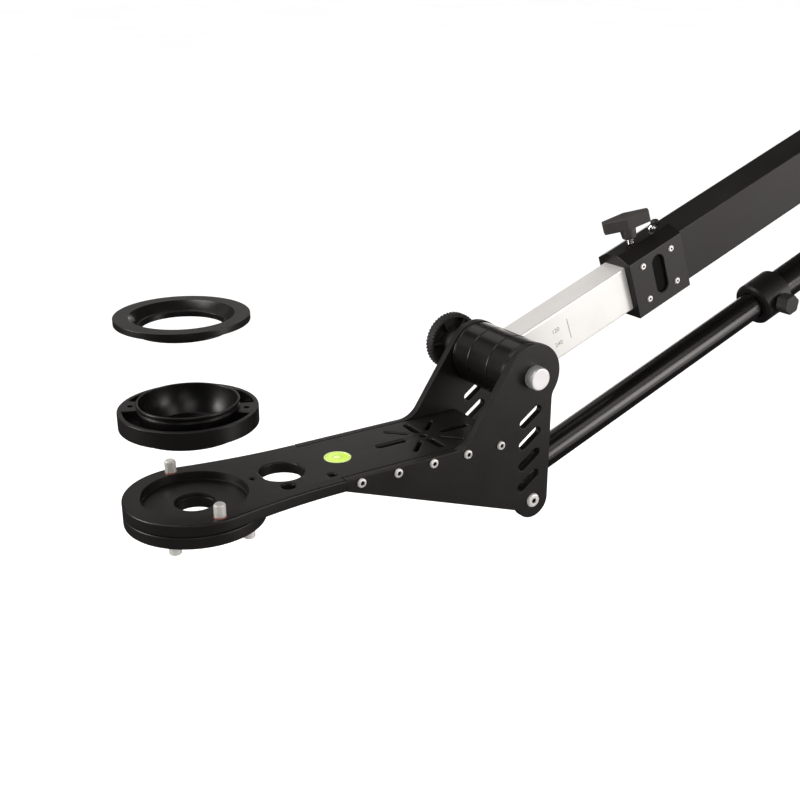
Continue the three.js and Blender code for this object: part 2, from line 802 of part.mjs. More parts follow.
function slideGuideSolid() {
  const outside = [outerHalfWide - tubeWall - runGap, outerHalfHigh - tubeWall - runGap];
  const inside = [innerHalfWide + runGap, innerHalfHigh + runGap];
  return cut(
    box(outerStart, outerStart + guideLong, -outside[0], outside[0], -outside[1], outside[1]),
    box(outerStart - overrun, outerStart + guideLong + overrun, -inside[0], inside[0], -inside[1], inside[1]),
  );
}

function collarSolid() {
  const section = [
    point(-collarHalfWide, -collarUnder),
    point(collarHalfWide, -collarUnder),
    point(collarHalfWide, collarTop),
    point(collarRidgeHalf, collarRidge),
    point(-collarRidgeHalf, collarRidge),
    point(-collarHalfWide, collarTop),
  ];
  const mouth = [innerHalfWide + runGap, innerHalfHigh + runGap];
  const bore = [outerHalfWide + seatGap, outerHalfHigh + seatGap];
  const slot = slotOutline(
    collarSlotX,
    collarSlotLow + collarSlotWide / 2,
    collarSlotX,
    collarSlotHigh - collarSlotWide / 2,
    collarSlotWide,
  );
  const boreStart = outerStart - seatGap;
  return cut(
    prism('x', section, collarFront, collarRear),
    box(collarFront - overrun, collarRear + overrun, -mouth[0], mouth[0], -mouth[1], mouth[1]),
    box(boreStart, collarRear + overrun, -bore[0], bore[0], -bore[1], bore[1]),
    prism('y', slot, -collarHalfWide - overrun, collarHalfWide + overrun),
    cylinder('z', wingStemR + runGap, 0, collarRidge + overrun, [wingX, 0], smallSides),
    cylinder('z', stopScrewR + runGap, 0, collarRidge + overrun, [stopScrewX, 0], screwSides),
  );
}

function wingKnobSolid() {
  const bossLow = collarRidge + wingClear;
  const barLow = bossLow + wingBossHigh;
  const half = wingSpan / 2;
  const outline = [
    point(-half, -wingTipHalf),
    point(0, -wingMidHalf),
    point(half, -wingTipHalf),
    point(half, wingTipHalf),
    point(0, wingMidHalf),
    point(-half, wingTipHalf),
  ];
  const bar = prism('z', outline, barLow, barLow + wingBarHigh);
  const boss = turned('z', [
    [0, bossLow],
    [wingBossR, bossLow],
    [wingHubR, barLow],
    [0, barLow],
  ]);
  const stem = cylinder('z', wingStemR, outerHalfHigh + seatGap, bossLow, [0, 0], smallSides);
  return join(bar, boss, stem);
}

function saddleSolid(sign) {
  const foot = outerHalfWide + seatGap;
  return cut(
    join(
      box(
        reach - saddleHalfLong,
        reach + saddleHalfLong,
        ...span(sign, foot, foot + saddleThick),
        -saddleHalfHigh,
        saddleHalfHigh,
      ),
      cylinder('y', saddleBossR, ...span(sign, foot, cheekInner - seatGap), [reach, 0]),
    ),
    cylinder('y', shaftR + runGap, ...span(sign, 0, cheekInner + overrun), [reach, 0]),
  );
}

function outerTubeSolid() {
  const through = [-outerHalfWide - overrun, outerHalfWide + overrun];
  const tube = tubeSolid(outerHalfWide, outerHalfHigh, outerStart, outerEnd);
  return cut(tube, cylinder('y', shaftR + runGap, ...through, [reach, 0]));
}

const endBlockStart = outerEnd + seatGap;
const barX = endBlockStart + endBlockLong / 2;

function endBlockSolid() {
  const plugWide = outerHalfWide - tubeWall - seatGap;
  const plugHigh = outerHalfHigh - tubeWall - seatGap;
  const block = roundedRectangle(outerHalfWide, outerHalfHigh, tubeCornerR);
  return cut(
    join(
      prism('x', block, endBlockStart, endBlockStart + endBlockLong),
      box(outerEnd - endPlugLong, endBlockStart + overrun, -plugWide, plugWide, -plugHigh, plugHigh),
    ),
    cylinder('y', barR + runGap, -outerHalfWide - overrun, outerHalfWide + overrun, [barX, 0]),
  );
}

function addBoom(parent) {
  const boom = new THREE.Group();
  const pitch = rad(boomPitchDeg);
  boom.position.set(-reach * Math.cos(pitch), 0, fulcrumHeight - reach * Math.sin(pitch));
  boom.rotation.y = -pitch;
  parent.add(boom);

  place(boom, 'tube_knuckle', knuckleSolid(), blackSatin());
  place(boom, 'inner_tube', innerTubeSolid(), silverSatin());
  place(boom, 'inner_plug', innerPlugSolid(), blackPlastic());
  place(boom, 'slide_guide', slideGuideSolid(), blackPlastic());
  place(boom, 'outer_tube', outerTubeSolid(), blackSatin());
  place(boom, 'tele_collar', collarSolid(), blackSatin());
  const wing = new THREE.Group();
  wing.position.x = wingX;
  wing.rotation.z = rad(wingTurnDeg);
  boom.add(wing);
  place(wing, 'tele_wing_knob', wingKnobSolid(), darkPlastic());
  const stopSpan = [collarRidge - stopScrewBite, collarRidge + seatGap];
  const stopPlace = [stopScrewX, 0];
  const stopScrew = socketScrew('z', stopScrewR, ...stopSpan, stopScrewHeadR, stopScrewHeadHigh, stopPlace);
  place(boom, 'collar_stop_screw', stopScrew, brightSteel());
  place(boom, 'end_block', endBlockSolid(), blackSatin());
  const barSpan = [-barLong / 2, barLong / 2];
  place(boom, 'weight_bar', turnedDisc('y', barR, ...barSpan, barEdge, [barX, 0]), brightSteel());
  const weightInner = outerHalfWide + weightOffset;
  const collarInner = weightInner + weightThick + barCollarGap;
  for (const { name, sign } of sides) {
    place(boom, `saddle_${name}`, saddleSolid(sign), blackSatin());
    const hole = cylinder('y', barR + runGap, ...span(sign, 0, barLong / 2), [barX, 0]);
    const weightSpan = span(sign, weightInner, weightInner + weightThick);
    const disc = turnedDisc('y', weightR, ...weightSpan, weightEdge, [barX, 0], largeSides);
    place(boom, `weight_${name}`, cut(disc, hole), blackSatin());
    const ringSpan = span(sign, collarInner, collarInner + barCollarWide);
    const ring = turnedDisc('y', barCollarR, ...ringSpan, barCollarEdge, [barX, 0]);
    place(boom, `bar_collar_${name}`, cut(ring, hole), brightSteel());
  }
}

// Along the rod: X runs from the head's lower bolt to the rod's rear pivot, parallel to the boom
function addRod(parent) {
  const rod = new THREE.Group();
  const pitch = rad(boomPitchDeg);
  const pivotX = linkSetback - reach * Math.cos(pitch);
  const pivotZ = fulcrumHeight - linkDrop - reach * Math.sin(pitch);
  rod.position.set(pivotX, 0, pivotZ);
  rod.rotation.y = -pitch;
  parent.add(rod);

  const frontHalf = gussetInner - seatGap;
  const rearPlugFront = reach - rearEyeR - rodRearPlug;
  const rodFrontEnd = rearPlugFront - travelIn - overrun;
  const rodRearFront = reach - rodRearLong;
  const frontEye = cut(
    join(
      cylinder('y', frontEyeR, -frontHalf, frontHalf),
      cylinder('x', rodR - rodWall - seatGap, 0, frontEyeR + rodFrontPlug),
    ),
    cylinder('y', lowerBoltR + pivotSlack, -gussetInner - overrun, gussetInner + overrun, [0, 0], smallSides),
  );
  place(rod, 'rod_front_eye', frontEye, blackSatin());

  const frontTube = cut(
    cylinder('x', rodR, 0, rodFrontEnd, [0, 0], largeSides),
    cylinder('x', rodR - rodWall, -overrun, rodFrontEnd + overrun, [0, 0], largeSides),
    cylinder('y', frontEyeR + seatGap, -gussetInner, gussetInner),
  );
  place(rod, 'rod_front_tube', frontTube, blackGloss());

  const rearBore = rodR + slideGap;
  const rearEye = cut(
    join(
      cylinder('y', rearEyeR, seatGap - cheekInner, cheekInner - seatGap, [reach, 0]),
      cylinder('x', rearBore - seatGap, rearPlugFront, reach, [0, 0], largeSides),
    ),
    cylinder('y', rodBoltR + runGap, -cheekInner - overrun, cheekInner + overrun, [reach, 0], smallSides),
  );
  place(rod, 'rod_rear_eye', rearEye, blackSatin());

  const rearTube = cut(
    cylinder('x', rodRearR, rodRearFront, reach, [0, 0], largeSides),
    cylinder('x', rearBore, rodRearFront - overrun, reach + overrun, [0, 0], largeSides),
    cylinder('y', rearEyeR + seatGap, -cheekInner, cheekInner, [reach, 0]),
  );
  place(rod, 'rod_rear_tube', rearTube, blackGloss());

  const clampFront = rodRearFront - clampLip - seatGap;
  const knobX = clampFront + clampLong / 2;
  const clampRear = clampFront + clampLong;
  const clamp = cut(
    cylinder('x', clampR, clampFront, clampRear, [0, 0], largeSides),
    cylinder('x', rearBore, clampFront - overrun, clampRear + overrun, [0, 0], largeSides),
    cylinder('x', rodRearR + seatGap, rodRearFront - seatGap, clampRear + overrun, [0, 0], largeSides),
    cylinder('y', clampStemR + runGap, -clampR - overrun, 0, [knobX, 0], smallSides),
  );
  place(rod, 'rod_clamp', clamp, blackSatin());

  const knobFace = -clampR - clampKnobClear;
  const knob = join(
    prism('y', gripOutline(clampKnobR, hexSides, gripDeep, [knobX, 0]), knobFace - clampKnobLong, knobFace),
    cylinder('y', clampStemR, knobFace - overrun, -rodRearR - seatGap, [knobX, 0], smallSides),
  );
  place(rod, 'rod_clamp_knob', knob, blackPlastic());
}

const turntableLow = baseHigh + seatGap;
const turntableTop = turntableLow + turntableHigh;
const cheekFoot = turntableTop + seatGap;
const cheekOuter = cheekInner + cheekThick;
const panStemZ = turntableLow + turntableHigh / 2;
const panStemTip = turntableR - panStemBite;

function cheekSolid(sign) {
  const top = point(0, fulcrumHeight);
  const flare = Math.hypot(fulcrumHeight - cheekFoot, cheekFootHalf);
  const lean = deg(Math.asin((cheekFootHalf - cheekTopR) / flare));
  const outline = [
    point(-cheekFootHalf, cheekFoot),
    point(cheekFootHalf, cheekFoot),
    ...arc(top.x, top.y, cheekTopR, lean, 180 - lean),
  ];
  const through = span(sign, cheekInner - overrun, cheekOuter + overrun);
  return cut(
    prism('y', outline, ...span(sign, cheekInner, cheekOuter)),
    cylinder('y', shaftR + runGap, ...through, [0, fulcrumHeight]),
    cylinder('y', rodBoltR + runGap, ...through, [linkSetback, fulcrumHeight - linkDrop], smallSides),
  );
}

function addYoke(parent) {
  const turntable = cut(
    turnedDisc('z', turntableR, turntableLow, turntableTop, baseEdge, [0, 0], largeSides),
    cylinder('z', spindleR + runGap, turntableLow - overrun, turntableTop - spindleTopWall),
    cylinder('x', panStemR + runGap, panStemTip, turntableR + overrun, [0, panStemZ], smallSides),
  );
  place(parent, 'turntable', turntable, blackSatin());
  for (const { name, sign } of sides) {
    place(parent, `yoke_cheek_${name}`, cheekSolid(sign), blackSatin());
  }

  const outside = cheekOuter + seatGap;
  const axis = [0, fulcrumHeight];
  const knobEnd = outside + brakeKnobHub + brakeKnobWide;
  const shaftEnd = knobEnd - brakeKnobWide / 2;
  const shaft = join(
    cylinder('y', shaftHeadR, -outside - shaftHeadHigh, -outside, axis),
    cylinder('y', shaftR, -outside - seatGap, shaftEnd, axis),
  );
  place(parent, 'main_shaft', shaft, brightSteel());

  const brakeStart = outside + brakeKnobHub;
  const brakeKnob = cut(
    join(
      prism('y', gripOutline(brakeKnobR, brakeLobes, brakeLobeDeep, axis), brakeStart, knobEnd),
      cylinder('y', brakeKnobHubR, outside, shaftEnd, axis),
    ),
    cylinder('y', shaftR + runGap, outside - overrun, shaftEnd + seatGap, axis),
  );
  place(parent, 'tilt_brake_knob', brakeKnob, blackPlastic());

  const rodAxis = [linkSetback, fulcrumHeight - linkDrop];
  const rodBolt = join(
    socketScrew('y', rodBoltR, outside, -outside, rodBoltHeadR, rodBoltHeadHigh, rodAxis),
    cylinder('y', rodBoltR, 0, outside + rodBoltHeadHigh, rodAxis, screwSides),
    cylinder('y', rodBoltHeadR, outside, outside + rodBoltHeadHigh, rodAxis, hexSides),
  );
  place(parent, 'rod_pivot_bolt', rodBolt, brightSteel());

  const knobStart = turntableR + panKnobClear;
  const panKnob = join(
    cylinder('x', panStemR, panStemTip + seatGap, knobStart + overrun, [0, panStemZ], smallSides),
    prism('x', gripOutline(panKnobR, hexSides, gripDeep, [0, panStemZ]), knobStart, knobStart + panKnobLong),
  );
  place(parent, 'pan_lock_knob', panKnob, blackPlastic());
}

function addBase(parent) {
  const socketOuter = bushR + bushWall;
  const base = cut(
    turnedDisc('z', baseR, 0, baseHigh, baseEdge, [0, 0], largeSides),
    cylinder('z', socketOuter + seatGap, -overrun, bushHigh + seatGap, [0, 0], smallSides),
    cylinder('z', spindleR + seatGap, bushHigh + 2 * seatGap + overrun, baseHigh + overrun),
  );
  place(parent, 'pan_base', base, blackSatin());
  const bush = cut(
    cylinder('z', socketOuter, 0, bushHigh, [0, 0], smallSides),
    cylinder('z', bushR, -overrun, bushHigh + overrun, [0, 0], smallSides),
  );
  place(parent, 'tripod_bush', bush, brass());
  const spindleTop = turntableTop - spindleTopWall - seatGap;
  const spindleLow = bushHigh + 3 * seatGap + overrun;
  place(parent, 'pan_spindle', cylinder('z', spindleR, spindleLow, spindleTop), brightSteel());
}

const crane = new THREE.Group();
addBase(crane);
addYoke(crane);
addBoom(crane);
addRod(crane);
addHead(crane);

export default crane;
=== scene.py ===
import json
import math

import bmesh
import bpy
from mathutils import Matrix, Vector


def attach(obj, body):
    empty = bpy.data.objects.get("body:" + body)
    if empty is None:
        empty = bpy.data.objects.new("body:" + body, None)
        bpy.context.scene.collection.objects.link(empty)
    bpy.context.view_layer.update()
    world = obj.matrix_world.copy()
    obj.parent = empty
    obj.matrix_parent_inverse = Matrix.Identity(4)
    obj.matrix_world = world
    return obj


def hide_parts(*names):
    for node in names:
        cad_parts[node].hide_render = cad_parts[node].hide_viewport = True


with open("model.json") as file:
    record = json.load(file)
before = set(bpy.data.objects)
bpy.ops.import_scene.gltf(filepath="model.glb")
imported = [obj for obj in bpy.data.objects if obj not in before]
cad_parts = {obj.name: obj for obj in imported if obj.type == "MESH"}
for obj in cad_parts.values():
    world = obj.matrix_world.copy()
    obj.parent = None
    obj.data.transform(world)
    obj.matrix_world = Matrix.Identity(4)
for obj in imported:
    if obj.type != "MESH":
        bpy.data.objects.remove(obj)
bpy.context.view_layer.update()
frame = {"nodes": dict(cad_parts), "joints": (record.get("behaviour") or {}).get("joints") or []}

scene = bpy.context.scene
joints = {joint["name"]: joint for joint in frame["joints"]}
bothSides = (("near", -1), ("far", 1))
slack = 0.3  # clearance round pins, shafts and tubes
sharpDeg = 34  # edges sharper than this stay sharp
boreReach = 60  # how far a cross bore's cutter runs to each side
cornerShare = 0.45  # how much of an edge a rounded corner may take

# Pieces are drawn in millimetres in the head's, the arm's or the whole crane's frame, then placed
alongBoom = -Vector(joints["telescope"]["axis"])
boomPitch = math.atan2(alongBoom.z, alongBoom.x)
headPivot = Vector(joints["head_level"]["pos_m"])
mainAxis = Vector(joints["boom_tilt"]["pos_m"])
rodRearPivot = Vector(joints["rod_tilt"]["pos_m"])
reach = (mainAxis - headPivot).length * 1000
pivotInHead, boltInHead = (404, 69.5), (410, -91)  # x and z from the middle of the platform's round end
toMetres = Matrix.Scale(0.001, 4)
armTurn = Matrix.Rotation(-boomPitch, 4, "Y")
pivotToMiddle = Matrix.Translation((-pivotInHead[0], 0, -pivotInHead[1]))
headPlace = Matrix.Translation(headPivot) @ toMetres @ pivotToMiddle
boomPlace = Matrix.Translation(headPivot) @ armTurn @ toMetres
rodPlace = headPlace @ Matrix.Translation((boltInHead[0], 0, boltInHead[1])) @ armTurn
onHead, onBoom, onInnerBoom = (headPlace, "head"), (boomPlace, "boom"), (boomPlace, "inner_boom")
onRodFront, onRodRear = (rodPlace, "rod_front"), (rodPlace, "rod_rear")
onYoke, onBase = (toMetres, "yoke"), (toMetres, "base")


def arc(centreX, centreY, radius, fromDeg, toDeg, stepDeg=4):
    steps = max(2, math.ceil(abs(toDeg - fromDeg) / stepDeg))
    turns = [math.radians(fromDeg + (toDeg - fromDeg) * step / steps) for step in range(steps + 1)]
    return [(centreX + radius * math.cos(turn), centreY + radius * math.sin(turn)) for turn in turns]


def ringOutline(centreX, centreY, radius, stepDeg=5):
    return arc(centreX, centreY, radius, 0, 360, stepDeg)[:-1]


def slotOutline(start, end, wide):
    heading = math.degrees(math.atan2(end[1] - start[1], end[0] - start[0]))
    tail = arc(*start, wide / 2, heading + 90, heading + 270, 12)
    return arc(*end, wide / 2, heading - 90, heading + 90, 12) + tail


def rectangle(lowX, lowY, highX, highY):
    return [(lowX, lowY), (highX, lowY), (highX, highY), (lowX, highY)]


def lobedOutline(centreX, centreY, radius, lobes, deep, count=144):
    outline = []
    for step in range(count):
        turn = 2 * math.pi * step / count
        lobeR = radius - deep * (1 - math.cos(turn * lobes)) / 2
        outline.append((centreX + lobeR * math.cos(turn), centreY + lobeR * math.sin(turn)))
    return outline


# Rounds each corner sharper than keepDeg with a short curve
def softened(corners, radius, closed=True, steps=3, keepDeg=20):
    points, count = [], len(corners)
    for index, corner in enumerate(corners):
        here = Vector(corner)
        back = Vector(corners[index - 1]) - here
        on = Vector(corners[(index + 1) % count]) - here
        atEnd = not closed and index in (0, count - 1)
        bend = 0 if atEnd else math.pi - back.angle(on)
        if atEnd or bend < math.radians(keepDeg):
            points.append(tuple(here))
            continue
        cutBack = min(radius * math.tan(bend / 2), back.length * cornerShare, on.length * cornerShare)
        start, end = here + back.normalized() * cutBack, here + on.normalized() * cutBack
        for step in range(steps + 1):
            share = step / steps
            points.append(tuple(start.lerp(here, share).lerp(here.lerp(end, share), share)))
    return points


def along(axis, across, up, height):
    return {"x": (height, across, up), "y": (across, height, up), "z": (across, up, height)}[axis]


def newObject(name, mesh):
    piece = bpy.data.objects.new(name, mesh)
    scene.collection.objects.link(piece)
    return piece


def meshFrom(name, sketch):
    bmesh.ops.remove_doubles(sketch, verts=sketch.verts, dist=0.002)
    bmesh.ops.recalc_face_normals(sketch, faces=sketch.faces)
    mesh = bpy.data.meshes.new(name)
    sketch.to_mesh(mesh)
    sketch.free()
    return mesh


# A turned piece from (radius, height) pairs; pairs that leave the axis open make a ring
def turned(name, profile, axis="z", centre=(0, 0), soft=0.5, segments=96):
    closed = min(profile[0][0], profile[-1][0]) > 0
    sketch = bmesh.new()
    rows = []
    for radius, height in softened(profile, soft, closed):
        turns = [2 * math.pi * step / segments for step in range(segments)] if radius >= 1e-6 else [0]
        rows.append([
            sketch.verts.new(along(
                axis, centre[0] + radius * math.cos(turn), centre[1] + radius * math.sin(turn), height,
            )) for turn in turns
        ])
    for low, high in list(zip(rows, rows[1:])) + ([(rows[-1], rows[0])] if closed else []):
        for step in range(segments):
            after = (step + 1) % segments
            around = [low[step % len(low)], low[after % len(low)], high[after % len(high)],
                      high[step % len(high)]]
            corners = list(dict.fromkeys(around))
            if len(corners) > 2:
                sketch.faces.new(corners)
    return newObject(name, meshFrom(name, sketch))


# A plain cylinder, or a ring where it has a bore
def cylinder(name, radius, low, high, axis="z", centre=(0, 0), bore=0, soft=0, segments=48):
    return turned(name, [(bore, low), (radius, low), (radius, high), (bore, high)], axis, centre, soft,
                  segments)


# The cutter for something that goes across the arm with its clearance
def crossBore(name, radius, centre=(0, 0), segments=96):
    return cylinder(name, radius + slack, -boreReach, boreReach, "y", centre, segments=segments)


def plainMesh(piece):
    graph = bpy.context.evaluated_depsgraph_get()
    graph.update()
    mesh = bpy.data.meshes.new_from_object(
        piece.evaluated_get(graph), preserve_all_data_layers=True, depsgraph=graph,
    )
    mesh.name = piece.name
    return mesh


# A flat piece with bevelled edges, cut from an outline with its holes
def plate(name, outline, start, end, axis="z", holes=(), bevel=0.6):
    low, high = sorted((start, end))
    curve = bpy.data.curves.new(name, "CURVE")
    curve.dimensions = "2D"
    curve.fill_mode = "BOTH"
    curve.extrude = (high - low) / 2 - bevel
    curve.bevel_depth = bevel
    curve.bevel_resolution = 2
    curve.offset = -bevel
    for points in (outline, *holes):
        spline = curve.splines.new("POLY")
        spline.points.add(len(points) - 1)
        for knot, (x, y) in zip(spline.points, points):
            knot.co = (x, y, 0, 1)
        spline.use_cyclic_u = True
    drawn = newObject(name + ".drawn", curve)
    sketch = bmesh.new()
    sketch.from_mesh(plainMesh(drawn))
    bpy.data.objects.remove(drawn)
    middle = (low + high) / 2
    for vert in sketch.verts:
        vert.co = Vector(along(axis, vert.co.x, vert.co.y, vert.co.z + middle))
    return newObject(name, meshFrom(name, sketch))


def box(name, lowCorner, highCorner, bevel=0.6):
    outline = rectangle(*lowCorner[:2], *highCorner[:2])
    return plate(name, softened(outline, bevel), lowCorner[2], highCorner[2], bevel=bevel)


def bake(piece):
    mesh = plainMesh(piece)
    piece.modifiers.clear()
    piece.data = mesh


def withModifier(piece, kind, **settings):
    step = piece.modifiers.new(kind.title(), kind)
    for setting, value in settings.items():
        setattr(step, setting, value)
    bake(piece)


def carve(piece, *cutters):
    for cutter in cutters:
        withModifier(piece, "BOOLEAN", operation="DIFFERENCE", solver="EXACT", object=cutter)
        bpy.data.objects.remove(cutter)
    return piece


# Several closed shells as one piece
def together(piece, *others):
    sketch = bmesh.new()
    sketch.from_mesh(piece.data)
    for other in others:
        sketch.from_mesh(other.data)
        bpy.data.objects.remove(other)
    sketch.to_mesh(piece.data)
    sketch.free()
    return piece


# The last three entries place the dark disc of painted shade inside the socket
socketShape = {"edgeIn": 0.35, "edgeDown": 0.4, "soft": 0.08, "deepTo": 0.35, "over": 2, "shadeFrom": 0.36,
               "shadeTo": 0.5, "shadeWide": 0.86}


# A screw or bolt with a hexagon socket; its head points out along the axis from its seat
def socketScrew(name, size, axis, centre, seat, out):
    s = socketShape
    headR, headHigh, shankR, shankLong = (size[key] for key in ("headR", "headHigh", "shankR", "shankLong"))
    edge = headHigh * size["dome"]
    head = [
        (0, -shankLong), (shankR, -shankLong), (shankR, 0), (headR, 0), (headR, headHigh - edge),
        (headR - edge * s["edgeIn"], headHigh - edge * s["edgeDown"]), (headR - edge, headHigh),
        (0, headHigh),
    ]
    profile = [(radius, seat + out * height) for radius, height in head]
    screw = turned(name, profile, axis, centre, soft=headHigh * s["soft"], segments=40)
    hexagon = ringOutline(*centre, headR * size["socket"], 60)
    ends = (seat + out * headHigh * s["deepTo"], seat + out * (headHigh + s["over"]))
    return carve(screw, plate(name + ".socket", hexagon, *ends, axis, bevel=0.05))


# A dark disc in the bottom of a screw's socket: painted shade
def paintedSocketShade(name, size, axis, centre, seat, out):
    s = socketShape
    ends = sorted(seat + out * size["headHigh"] * share for share in (s["shadeFrom"], s["shadeTo"]))
    return cylinder(name, size["headR"] * size["socket"] * s["shadeWide"], *ends, axis, centre, soft=0.02,
                    segments=24)


# A node with its settings: names it has itself, and its inputs with _ for a space
def node(tree, kind, **settings):
    made = tree.nodes.new(kind)
    for name, value in settings.items():
        if hasattr(made, name):
            setattr(made, name, value)
        else:
            made.inputs[name.replace("_", " ")].default_value = value
    return made


def wire(fromNode, outputName, toNode, inputName):
    fromNode.id_data.links.new(fromNode.outputs[outputName], toNode.inputs[inputName])


# Geometry node trees for what repeats; each ends in Realize Instances and Set Material
def newTree(name, inputs):
    tree = bpy.data.node_groups.new(name, "GeometryNodeTree")
    tree.interface.new_socket("Geometry", in_out="INPUT", socket_type="NodeSocketGeometry")
    for label, kind in (*inputs.items(), ("Material", "NodeSocketMaterial")):
        tree.interface.new_socket(label, in_out="INPUT", socket_type=kind)
    tree.interface.new_socket("Geometry", in_out="OUTPUT", socket_type="NodeSocketGeometry")
    return tree, node(tree, "NodeGroupInput")


def closeTree(tree, given, spread):
    realize, paint = node(tree, "GeometryNodeRealizeInstances"), node(tree, "GeometryNodeSetMaterial")
    wire(spread, "Instances", realize, "Geometry")
    wire(realize, "Geometry", paint, "Geometry")
    wire(given, "Material", paint, "Material")
    wire(paint, "Geometry", node(tree, "NodeGroupOutput"), "Geometry")
    return tree


# The carrier's own mesh again and again along a straight step
def makeRowOfPieces():
    tree, given = newTree("RowOfPieces", {"Count": "NodeSocketInt", "Step": "NodeSocketVector"})
    line, spread = node(tree, "GeometryNodeMeshLine"), node(tree, "GeometryNodeInstanceOnPoints")
    wire(given, "Count", line, "Count")
    wire(given, "Step", line, "Offset")
    wire(line, "Mesh", spread, "Points")
    wire(given, "Geometry", spread, "Instance")
    return closeTree(tree, given, spread)


# The carrier's own mesh turned again and again about a centre
def makeRingOfPieces():
    tree, given = newTree("RingOfPieces", {
        "Count": "NodeSocketInt", "Centre": "NodeSocketVector", "Turn": "NodeSocketVector",
    })
    away = node(tree, "ShaderNodeVectorMath", operation="SCALE", Scale=-1)
    turn = node(tree, "ShaderNodeVectorMath", operation="SCALE")
    shift, points = node(tree, "GeometryNodeTransform"), node(tree, "GeometryNodePoints")
    spread = node(tree, "GeometryNodeInstanceOnPoints")
    wire(given, "Centre", away, 0)
    wire(given, "Geometry", shift, "Geometry")
    wire(away, "Vector", shift, "Translation")
    wire(given, "Count", points, "Count")
    wire(given, "Centre", points, "Position")
    wire(given, "Turn", turn, 0)
    wire(node(tree, "GeometryNodeInputIndex"), "Index", turn, "Scale")
    wire(points, "Points", spread, "Points")
    wire(shift, "Geometry", spread, "Instance")
    wire(turn, "Vector", spread, "Rotation")
    return closeTree(tree, given, spread)


rowOfPieces, ringOfPieces = makeRowOfPieces(), makeRingOfPieces()


# Shades a finished piece, puts its place into its mesh and hangs it on its body
def settle(piece, where, surface, *nodes):
    (place, body), (slotName, material) = where, surface
    mesh = piece.data
    mesh.transform(place)
    mesh.materials.clear()
    mesh.materials.append(material)
    for face in mesh.polygons:
        face.material_index = 0
    mesh.shade_smooth()
    mesh.set_sharp_from_angle(angle=math.radians(sharpDeg))
    withModifier(piece, "WEIGHTED_NORMAL", keep_sharp=True, weight=60)
    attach(piece, body)
    if nodes:
        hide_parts(*nodes)


# The same for a piece that one of the trees repeats
def settleRepeated(piece, tree, where, surface, *nodes, **inputs):
    step = piece.modifiers.new("Repeat", "NODES")
    step.node_group = tree
    inputs["Material"] = surface[1]
    for item in tree.interface.items_tree:
        if item.item_type == "SOCKET" and item.in_out == "INPUT" and item.name in inputs:
            step[item.identifier] = inputs[item.name]
    bake(piece)
    settle(piece, where, surface, *nodes)


# Object coordinates in metres, moved to the piece's centre, turned to its axis, then stretched
def pieceCoordinates(tree, centre, turn, stretch=(1, 1, 1)):
    last = node(tree, "ShaderNodeTexCoord")
    for step in ({"Location": [-value for value in centre]}, {"Rotation": turn}, {"Scale": stretch}):
        mapping = node(tree, "ShaderNodeMapping", **step)
        wire(last, "Object" if last.type == "TEX_COORD" else "Vector", mapping, "Vector")
        last = mapping
    return last


# A finish with two tones, uneven gloss and a fine relief; rings=True gives a lathe's tool marks.
# The record's slot comes back with the material.
def finish(name, slotName, dark, light, rough, metal=0, specular=0.5, coat=0, coatRough=0.1,
           stretch=(1, 1, 1),
           cloudScale=14, grainScale=1800, relief=0.15, centre=(0, 0, 0), turn=(0, 0, 0), rings=False):
    material = bpy.data.materials.new(name)
    material.use_nodes = True
    tree = material.node_tree
    shader = tree.nodes["Principled BSDF"]
    for entry, value in (("Metallic", metal), ("Specular IOR Level", specular), ("Coat Weight", coat),
                         ("Coat Roughness", coatRough)):
        shader.inputs[entry].default_value = value
    plain, place = pieceCoordinates(tree, centre, turn), pieceCoordinates(tree, centre, turn, stretch)
    cloud = node(tree, "ShaderNodeTexNoise", Scale=cloudScale, Detail=3, Roughness=0.55)
    grain = node(tree, "ShaderNodeTexNoise", Scale=grainScale, Detail=2, Roughness=0.6)
    wire(plain, "Vector", cloud, "Vector")
    wire(place, "Vector", grain, "Vector")
    tones = node(tree, "ShaderNodeMix", data_type="RGBA")
    tones.inputs[6].default_value, tones.inputs[7].default_value = (*dark, 1), (*light, 1)
    toneShare = node(tree, "ShaderNodeMapRange", From_Min=0.35, From_Max=0.65)
    wire(cloud, "Fac", toneShare, "Value")
    wire(toneShare, "Result", tones, "Factor")
    wire(tones, 2, shader, "Base Color")
    blend = node(tree, "ShaderNodeMix", Factor=0.35)
    wire(cloud, "Fac", blend, 2)
    wire(grain, "Fac", blend, 3)
    gloss = node(tree, "ShaderNodeMapRange", From_Min=0.3, From_Max=0.7, To_Min=rough[0], To_Max=rough[1])
    wire(blend, "Result", gloss, "Value")
    wire(gloss, "Result", shader, "Roughness")
    bump = node(tree, "ShaderNodeBump", Strength=relief, Distance=0.0001)
    if rings:
        marks = node(tree, "ShaderNodeTexWave", wave_type="RINGS", rings_direction="Z", Scale=420,
                     Distortion=0.4)
        wire(plain, "Vector", marks, "Vector")
        both = node(tree, "ShaderNodeMix", Factor=0.45)
        wire(grain, "Fac", both, 2)
        wire(marks, "Fac", both, 3)
        wire(both, "Result", bump, "Height")
    else:
        wire(grain, "Fac", bump, "Height")
    wire(bump, "Normal", shader, "Normal")
    return slotName, material


